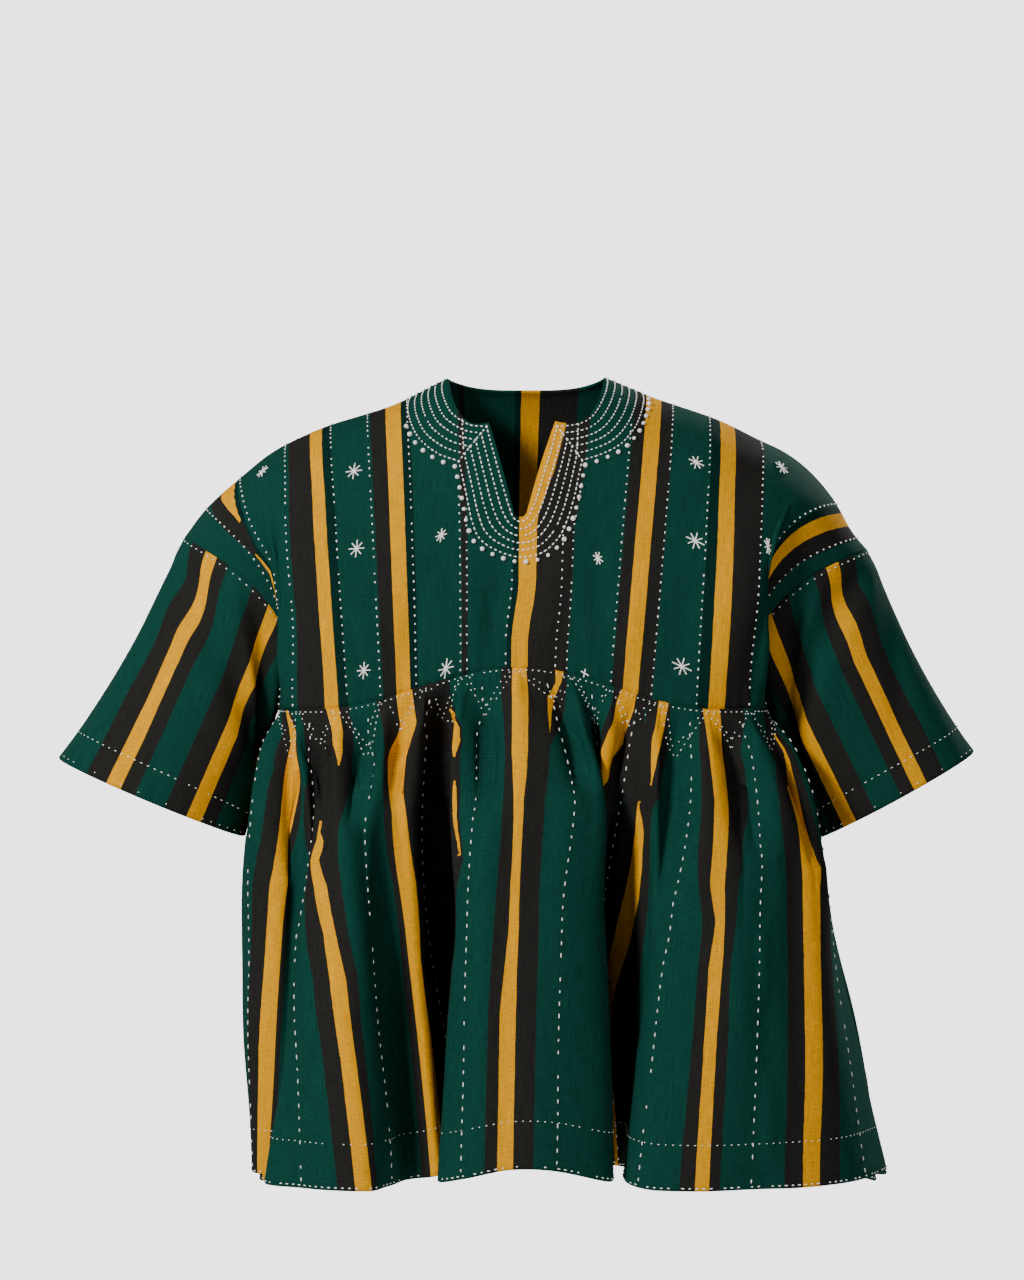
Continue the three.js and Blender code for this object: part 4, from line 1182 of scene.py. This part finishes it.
def even_edges(across, starts, marks):
    """The place in the pattern, where stripe edges with the given marks start at the given places."""
    widths, steps = np.diff(starts), np.diff(marks)
    ends = [STRIPE_EDGE]
    near = np.concatenate([ends, np.minimum(STRIPE_EDGE, widths / 2), ends])
    most = np.concatenate([ends, steps / 2, ends])
    pace = np.concatenate([[1], np.clip(steps / np.maximum(widths, 1e-6), 1, 4), [1]])
    pace = np.maximum(pace[:-1], pace[1:])
    keys = np.stack([starts - near[:-1], starts, starts + near[1:]], axis=1).ravel()
    before, after = np.minimum(pace * near[:-1], most[:-1]), np.minimum(pace * near[1:], most[1:])
    values = np.stack([marks - before, marks, marks + after], axis=1).ravel()
    return np.interp(across, np.maximum.accumulate(keys) + np.arange(len(keys)) * 1e-6, values)


def folded_and_shaded(away, reach):
    """Above one half where cloth nearer than the reach shows only black: the stripes' own black over a
    folded-away colour, and painted shade of the deep fold where it covers green.
    """
    return np.clip(0.5 + (reach - np.abs(away)) / FOLD_AND_SHADE["end"], 0, 1)


def gathered_stripes(cloth, below):
    """Where each point of the front skirt lies in the stripe pattern, and where black is painted over a
    colour folded away between two blacks, partly as painted shade of the deep folds. The grids have one
    length below the seam in each row."""
    place, fold_and_shade = np.empty_like(cloth), np.zeros_like(cloth)
    woven = np.array([start for start, _ in SKIRT_STRIPES[1:]])

    # Black painted over a folded-away colour, partly as painted shade of the deep fold.
    def paint_fold_and_shade(row, away, reach):
        fold_and_shade[:, row] = np.maximum(fold_and_shade[:, row], folded_and_shaded(away, reach))

    for row in range(cloth.shape[1]):
        across, level = cloth[:, row], below[0, row]
        starts, marks, last = [], [], -9
        for strip in range(-2, 12):
            even = strip + woven + (LAST_SHIFT if strip > max(CARRIED) else 0)
            path = np.array(CARRIED.get(strip, [(0, *even)]))
            edges = [np.interp(level, path[:, 0], path[:, k]) for k in (1, 2, 3, 4)]
            starts += edges
            marks += list(strip + woven)
            if edges[2] - edges[1] < FOLD_AND_SHADE["narrow"]:
                reach = min(FOLD_AND_SHADE["most"], edges[1] - edges[0], edges[3] - edges[2])
                paint_fold_and_shade(row, across - edges[1], max(FOLD_AND_SHADE["least"], reach))
            if edges[0] - last < FOLD_AND_SHADE["close"]:
                paint_fold_and_shade(row, across - (edges[0] + last) / 2, FOLD_AND_SHADE["least"])
            last = edges[3]
        place[:, row] = even_edges(across, np.maximum.accumulate(starts), np.array(marks))
    return place + PATTERN_START, fold_and_shade


def sleeve_place(around, share, side):
    """Where each point of a sleeve lies in the stripe pattern. Green cloth goes over the fold at the top, and
    the strips behind it are a little narrower."""
    start = SLEEVE_PATTERN["start"] - np.interp(share, SHIFT_SHARES, SLEEVE_SHIFTS[side])
    over_fold = SLEEVE_PATTERN["over_fold"]
    front = np.maximum(start + SLEEVE_STRIPS * around, over_fold)
    behind = np.clip((1 - around - SLEEVE_PATTERN["behind_from"]) / SLEEVE_PATTERN["behind_over"], 0, 1)
    back = SLEEVE_STRIPS + over_fold - behind * (SLEEVE_STRIPS / 2 + over_fold - start)
    return PATTERN_START + np.where(around > 0.5, back, front)


def yoke_stripe(place, down):
    """Where the yellow of the right shoulder narrows, as its cloth is drawn under the fold at the armhole,
    and where black is painted over it as it folds away between the black beside it and the green, partly as
    painted shade at the fold edge."""
    levels = [row[0] for row in YOKE_STRIPE]
    edges = [np.interp(down, levels, [row[k] for row in YOKE_STRIPE]) for k in (1, 2, 3, 4)]
    drawn = place
    first, last = YOKE_WOVEN[0][0], YOKE_WOVEN[-1][1]
    for (low, high), start, end in zip(YOKE_WOVEN, (first, *edges), (*edges, last)):
        inside = (place >= start) & (place < end)
        drawn = np.where(inside, low + (place - start) * (high - low) / np.maximum(end - start, 0.01), drawn)
    # Black over the folded-away yellow; where it reaches onto green it is painted shade of the fold edge.
    narrow = edges[2] - edges[1] < YOKE_FOLD_AND_SHADE["narrow"]
    fold_and_shade = narrow & (np.abs(place - edges[1]) < YOKE_FOLD_AND_SHADE["reach"])
    return drawn, fold_and_shade.astype(float)


def stripe_marks(name, panel):
    """Where each point lies in its cloth's stripe pattern, and whether black is painted there over a
    folded-away yellow, partly as painted shade of the fold.
    """
    across, down = panel.flat[..., 0], panel.flat[..., 1]
    side, part = name.split("_")
    fold_and_shade = np.zeros_like(across)
    if name == "front_skirt":
        place, fold_and_shade = gathered_stripes(across / STRIP_WIDTH, down)
    elif name == "back_skirt":
        place = across / STRIP_WIDTH
    elif part == "body":
        place, fold_and_shade = yoke_stripe(across - stripe_lean(across, down, side), down)
    else:
        place = sleeve_place(across / SLEEVE["girth"], down / SLEEVE["length"], side)
    return np.stack([place, fold_and_shade], axis=-1)


# ---------------------------------------------------------------- lines of stitching

# How far the middle of a thread lies above the cloth.
LIFT = {"stitches": 0.45, "stars": 0.5, "knots": 0.9}

# Each kind of stitching: the pitch, length and width of its stitches, the share of them kept, and the seed.
STITCHES = {
    "neck": (4.6, 3.4, 1.4, 0.99, 11),
    "body_seam": (7.6, 2.4, 1.6, 0.94, 21),
    "gather": (5.4, 1.9, 1.1, 0.86, 31),
    "skirt_seam": (10.4, 4.2, 1.15, 0.92, 41),
    "hem": (6.4, 2.0, 0.9, 0.9, 51),
    "hem_edge": (6.2, 3.2, 1.2, 0.7, 53),
    "cuff": (6.8, 2.6, 0.95, 0.94, 61),
    "cuff_edge": (9.0, 2.0, 0.9, 0.6, 63),
    "armhole": (8.4, 2.4, 1.2, 0.94, 71),
}
KNOTS = {"pitch": 10.2, "size": 4.2, "seed": 5}
STAR_THREAD = 1.25

# Where the stitches of a body seam start, below the neck stitching. The others start at the shoulder.
SEAM_STARTS = {
    "front": {-67: 145, -60: 167, -10: 240, 40: 196, 50: 152, 102: 74},
    "back": {-115: 38, -67: 75, -60: 81, -10: 89, 40: 88, 50: 82, 102: 56},
}
# The seam beside the yoke stripe is drawn aside with the fold: lengths down, and how far it moves there.
YOKE_SEAM = -287
YOKE_SHIFT = ((0, 16, 40, 60, 87, 103, 126, 150), (0, -1, -4, -8, -13, -11, -3, 0))
# Rounds in which the place of a leaning seam is found.
LEAN_ROUNDS = 8
# Where the strips of the front skirt are sewn together, in strips from its first seam.
FRONT_SKIRT_SEAMS = [-1.12, 0.04, 1, 2, 3, 4, 5, 6, 7, 8.3, 9.24, 10.3, 11.3]
# Shares of the skirt's length from which and to which its seams' rows run. The front's row at the right side
# starts lower.
SEAM_SPAN = {"top": 0.035, "side_top": 0.3, "bottom": 0.985}
# Level rows run this far above the edge of the hem and of the cuff, and at this share of the sleeve.
HEM_EDGE_ROW = 1.6
CUFF_EDGE_ROW = 3.5
ARMHOLE_ROW = 0.014

# The innermost and the outermost row of the neck stitching, as cloth distance and length down: one for each
# side, from the shoulder to the corner of the slit, and one round the slit. The others lie evenly between.
NECK_ROWS = 6
LEFT_ROWS = (
    [(-76, 0), (-79, 30), (-78, 52), (-73, 73), (-65, 86), (-53, 97), (-37, 103)],
    [(-110, 0), (-114, 32), (-113, 58), (-107, 82), (-98, 99), (-84, 116), (-66, 130)],
)
RIGHT_ROWS = (
    [(75, 0), (76, 30), (73, 56), (66, 78), (57, 91), (45, 99), (31, 104)],
    [(109, 0), (113, 30), (110, 62), (103, 85), (91, 105), (74, 120), (55, 132)],
)
SLIT_ROWS = (
    [(-37, 103), (-32, 124), (-26, 146), (-20, 166), (-14, 184), (-9, 195), (-2, 199), (5, 196), (11, 185),
     (16, 170), (20, 154), (26, 130), (31, 104)],
    [(-66, 130), (-62, 150), (-58, 171), (-54, 190), (-46, 208), (-28, 222), (-3, 231), (20, 226), (36, 209),
     (44, 189), (49, 169), (52, 151), (55, 132)],
)
# The knots lie in a row a little beyond the outermost one.
KNOT_ROW = 1.14
# Round the nape the rows run from the first of these distances off the neck edge to the second.
NAPE_OFFSETS = (4, 38)
# Two short rows beside the corners of the slit: cloth distance, and length down from and to.
CORNER_ROWS = ((-61, 89, 118), (50, 97, 126))
# The knots of each side and of the slit start this far down.
KNOT_TOPS = (66, 22, 0)

# Stars: cloth distance and length down from the shoulder, size, and number of strokes.
FRONT_STARS = [
    (-261, 38, 15, 4), (-169, 100, 16, 4), (-171, 175, 16, 4), (-171, 285, 15, 4), (-83, 313, 17, 4),
    (-86, 192, 12, 4), (77, 217, 12, 4), (69, 323, 9, 2), (165, 95, 14, 4), (168, 171, 16, 4),
    (164, 286, 16, 4), (252, 46, 16.5, 4), (243, 140, 15, 4),
]
BACK_STARS = [
    (-262, 60, 14, 4), (-172, 96, 15, 4), (-170, 190, 16, 4), (-88, 140, 12, 4), (-90, 250, 15, 4),
    (78, 130, 12, 4), (80, 240, 15, 4), (168, 96, 15, 4), (168, 186, 16, 4), (262, 66, 14, 4),
]

# The row along the gather seam: half its length, and how far it lies below the seam.
SEAM_ROW = (309, 3)
# Rows beside each tuck: how far inside its edge, and how much less deep than the tuck. They start this far
# below the seam, and end this far to each side of the tuck's point.
TUCK_ROWS = ((1.5, 0), (6.0, 7))
TUCK_START = 5
TUCK_POINT = 0.8
TUCK_DEPTHS = [28, 24, 34, 27, 36, 26, 31, 30, 24, 33, 27, 35, 26, 32, 30, 26]


def body_line(panel, face, cloth, down, lift="stitches"):
    return panel.lay(cloth, body_shares(cloth, down, face), LIFT[lift])


def body_seam_lines(panel, face):
    """Rows along the seams between strips. How far a seam leans depends on where it lies, so its place is
    found in rounds."""
    lines = []
    for seam in BODY_SEAMS:
        total = float(body_lengths(np.array([float(seam)]), np.array([[1.0]]), face)[0, 0])
        down = np.linspace(2, total - 4, 60)
        cloth = np.full(60, float(seam))
        for _ in range(LEAN_ROUNDS):
            cloth = seam + stripe_lean(cloth, down, face)
        if seam == YOKE_SEAM and face == "front":
            cloth = cloth + np.interp(down, *YOKE_SHIFT)
        sewn = down > SEAM_STARTS[face].get(seam, 0)
        lines.append(body_line(panel, face, cloth[sewn], down[sewn]))
    return lines


def row_between(rows, share):
    """A row of stitching at a share of the way from the innermost row to the outermost."""
    inner, outer = (np.array(row, float) for row in rows)
    marks = inner + (outer - inner) * share
    keys, at = np.arange(len(marks)), np.linspace(0, len(marks) - 1, 60)
    return curve_through(keys, marks[:, 0], at), curve_through(keys, marks[:, 1], at)


def nape_row(offset):
    """A row of stitching round the back of the neck."""
    angle = np.linspace(0, np.pi, 70)
    return (NECK["half_width"] + offset) * np.cos(angle), (NECK["nape"] + offset) * np.sin(angle)


def neck_lines(front, back):
    lines = []
    nearest, farthest = NAPE_OFFSETS
    for share in np.linspace(0, 1, NECK_ROWS):
        for rows in (LEFT_ROWS, RIGHT_ROWS, SLIT_ROWS):
            lines.append(body_line(front, "front", *row_between(rows, share)))
        lines.append(body_line(back, "back", *nape_row(nearest + (farthest - nearest) * share)))
    for inner, outer in (LEFT_ROWS, RIGHT_ROWS):
        lines.append(body_line(front, "front", *np.linspace(inner[-1], outer[-1], 10).T))
    for cloth, start, stop in CORNER_ROWS:
        lines.append(body_line(front, "front", np.full(8, float(cloth)), np.linspace(start, stop, 8)))
    return lines


def knot_lines(front):
    lines = []
    for rows, top in zip((LEFT_ROWS, RIGHT_ROWS, SLIT_ROWS), KNOT_TOPS):
        cloth, down = row_between(rows, KNOT_ROW)
        lines.append(body_line(front, "front", cloth[down > top], down[down > top], "knots"))
    return lines


def star_lines(panel, face, stars):
    lines = []
    for cloth, down, size, strokes in stars:
        for k in range(strokes):
            angle = math.pi * k / strokes + 0.18
            reach = np.linspace(-0.5, 0.5, 5) * size * (1 if k % 2 == 0 else 0.9)
            stroke = (cloth + reach * math.cos(angle), down + reach * math.sin(angle))
            lines.append(body_line(panel, face, *stroke, "stars"))
    return lines


def gather_lines(panel, face, tucks):
    """The seam row, and the doubled rows that run down and up each pointed tuck below it."""
    cloths, seams = seam_to_cloth(face)

    def laid(along, down):
        return panel.lay(np.interp(along, seams, cloths), down / SKIRT_LENGTH, LIFT["stitches"])

    half, below = SEAM_ROW
    lines = [laid(np.linspace(-half, half, 260), below)]
    share = np.linspace(0, 1, 14)
    for k in range(1, len(tucks) - 1):
        for inset, less in TUCK_ROWS:
            for side in (-1, 1):
                top = (tucks[k] + tucks[k + side]) / 2 - side * inset
                uneven = 1.1 * np.sin(5.1 * share + 2.3 * k + inset)
                along = top + (tucks[k] + side * TUCK_POINT - top) * share + uneven
                lines.append(laid(along, TUCK_START + (TUCK_DEPTHS[k] - less) * share))
    return lines


def skirt_seam_lines(panel, face):
    seams = FRONT_SKIRT_SEAMS
    if face == "back":
        seams = [k / BACK_STRIPS for k in range(1, int(BACK_STRIPS) + 1)]
    lines = []
    for seam in seams:
        start = SEAM_SPAN["side_top" if seam < 0 else "top"]
        lines.append(panel.lay(seam, np.linspace(start, SEAM_SPAN["bottom"], 80), LIFT["stitches"]))
    return lines


def level_lines(panel, share):
    return [panel.lay(np.linspace(panel.columns[0], panel.columns[-1], 500), share, LIFT["stitches"])]


# ---------------------------------------------------------------- making the smock

set_camera()
set_backdrop()
set_lamps()
lay_floor()

cloths = {
    "body": strip_cloth("striped body cloth", BODY_STRIPES, BODY_SPAN, repeats=False),
    "skirt": strip_cloth("striped skirt cloth", SKIRT_STRIPES, ONE_STRIP, repeats=True),
    "sleeve": strip_cloth("striped sleeve cloth", SLEEVE_STRIPES, ONE_STRIP, repeats=True),
}
thread = cotton_thread()

panels = {
    "front_body": body_panel("front"),
    "back_body": body_panel("back"),
    "front_skirt": skirt_panel("front"),
    "back_skirt": skirt_panel("back"),
    "left_sleeve": sleeve_panel("left"),
    "right_sleeve": sleeve_panel("right"),
}
pieces = {}
for name, panel in panels.items():
    pieces[name] = panel_mesh(name + "_cloth", panel, stripe_marks(name, panel), cloths[name.split("_")[1]])

running, knots, strands = stitch_tree(), knot_tree(), thread_tree()
trims = {name: [] for name in panels}


def stitch(cloth, name, kind, lines):
    pitch, length, width, kept, seed = STITCHES[kind]
    trims[cloth].append(grow(name, lines, running, Pitch=pitch * MM, Length=length * MM, Width=width * MM,
                             Kept=kept, Seed=seed, Material=thread))


stitch("front_body", "neck_stitching", "neck", neck_lines(panels["front_body"], panels["back_body"]))
trims["front_body"].append(grow("neck_knots", knot_lines(panels["front_body"]), knots, Seed=KNOTS["seed"],
                                Pitch=KNOTS["pitch"] * MM, Size=KNOTS["size"] * MM, Material=thread))
for face, stars in (("front", FRONT_STARS), ("back", BACK_STARS)):
    name = face + "_body"
    stitch(name, name + "_seam_stitches", "body_seam", body_seam_lines(panels[name], face))
    trims[name].append(grow(face + "_stars", star_lines(panels[name], face, stars), strands,
                            Width=STAR_THREAD * MM, Material=thread))
for face, tucks in (("front", FRONT_TUCKS), ("back", BACK_TUCKS)):
    name = face + "_skirt"
    panel = panels[name]
    stitch(name, face + "_gather_stitches", "gather", gather_lines(panel, face, tucks))
    stitch(name, name + "_seam_stitches", "skirt_seam", skirt_seam_lines(panel, face))
    stitch(name, face + "_hem_stitches", "hem", level_lines(panel, 1 - HEM_TURN / SKIRT_LENGTH))
    stitch(name, face + "_hem_edge_stitches", "hem_edge", level_lines(panel, 1 - HEM_EDGE_ROW / SKIRT_LENGTH))
for name in ("left_sleeve", "right_sleeve"):
    for kind, share in (("cuff", 1 - CUFF_TURN / SLEEVE["length"]), ("armhole", ARMHOLE_ROW),
                        ("cuff_edge", 1 - CUFF_EDGE_ROW / SLEEVE["length"])):
        stitch(name, f"{name}_{kind}_stitches", kind, level_lines(panels[name], share))

for name, piece in pieces.items():
    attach(piece, "root")
    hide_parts(name)
    for trim in trims[name]:
        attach(trim, "root")
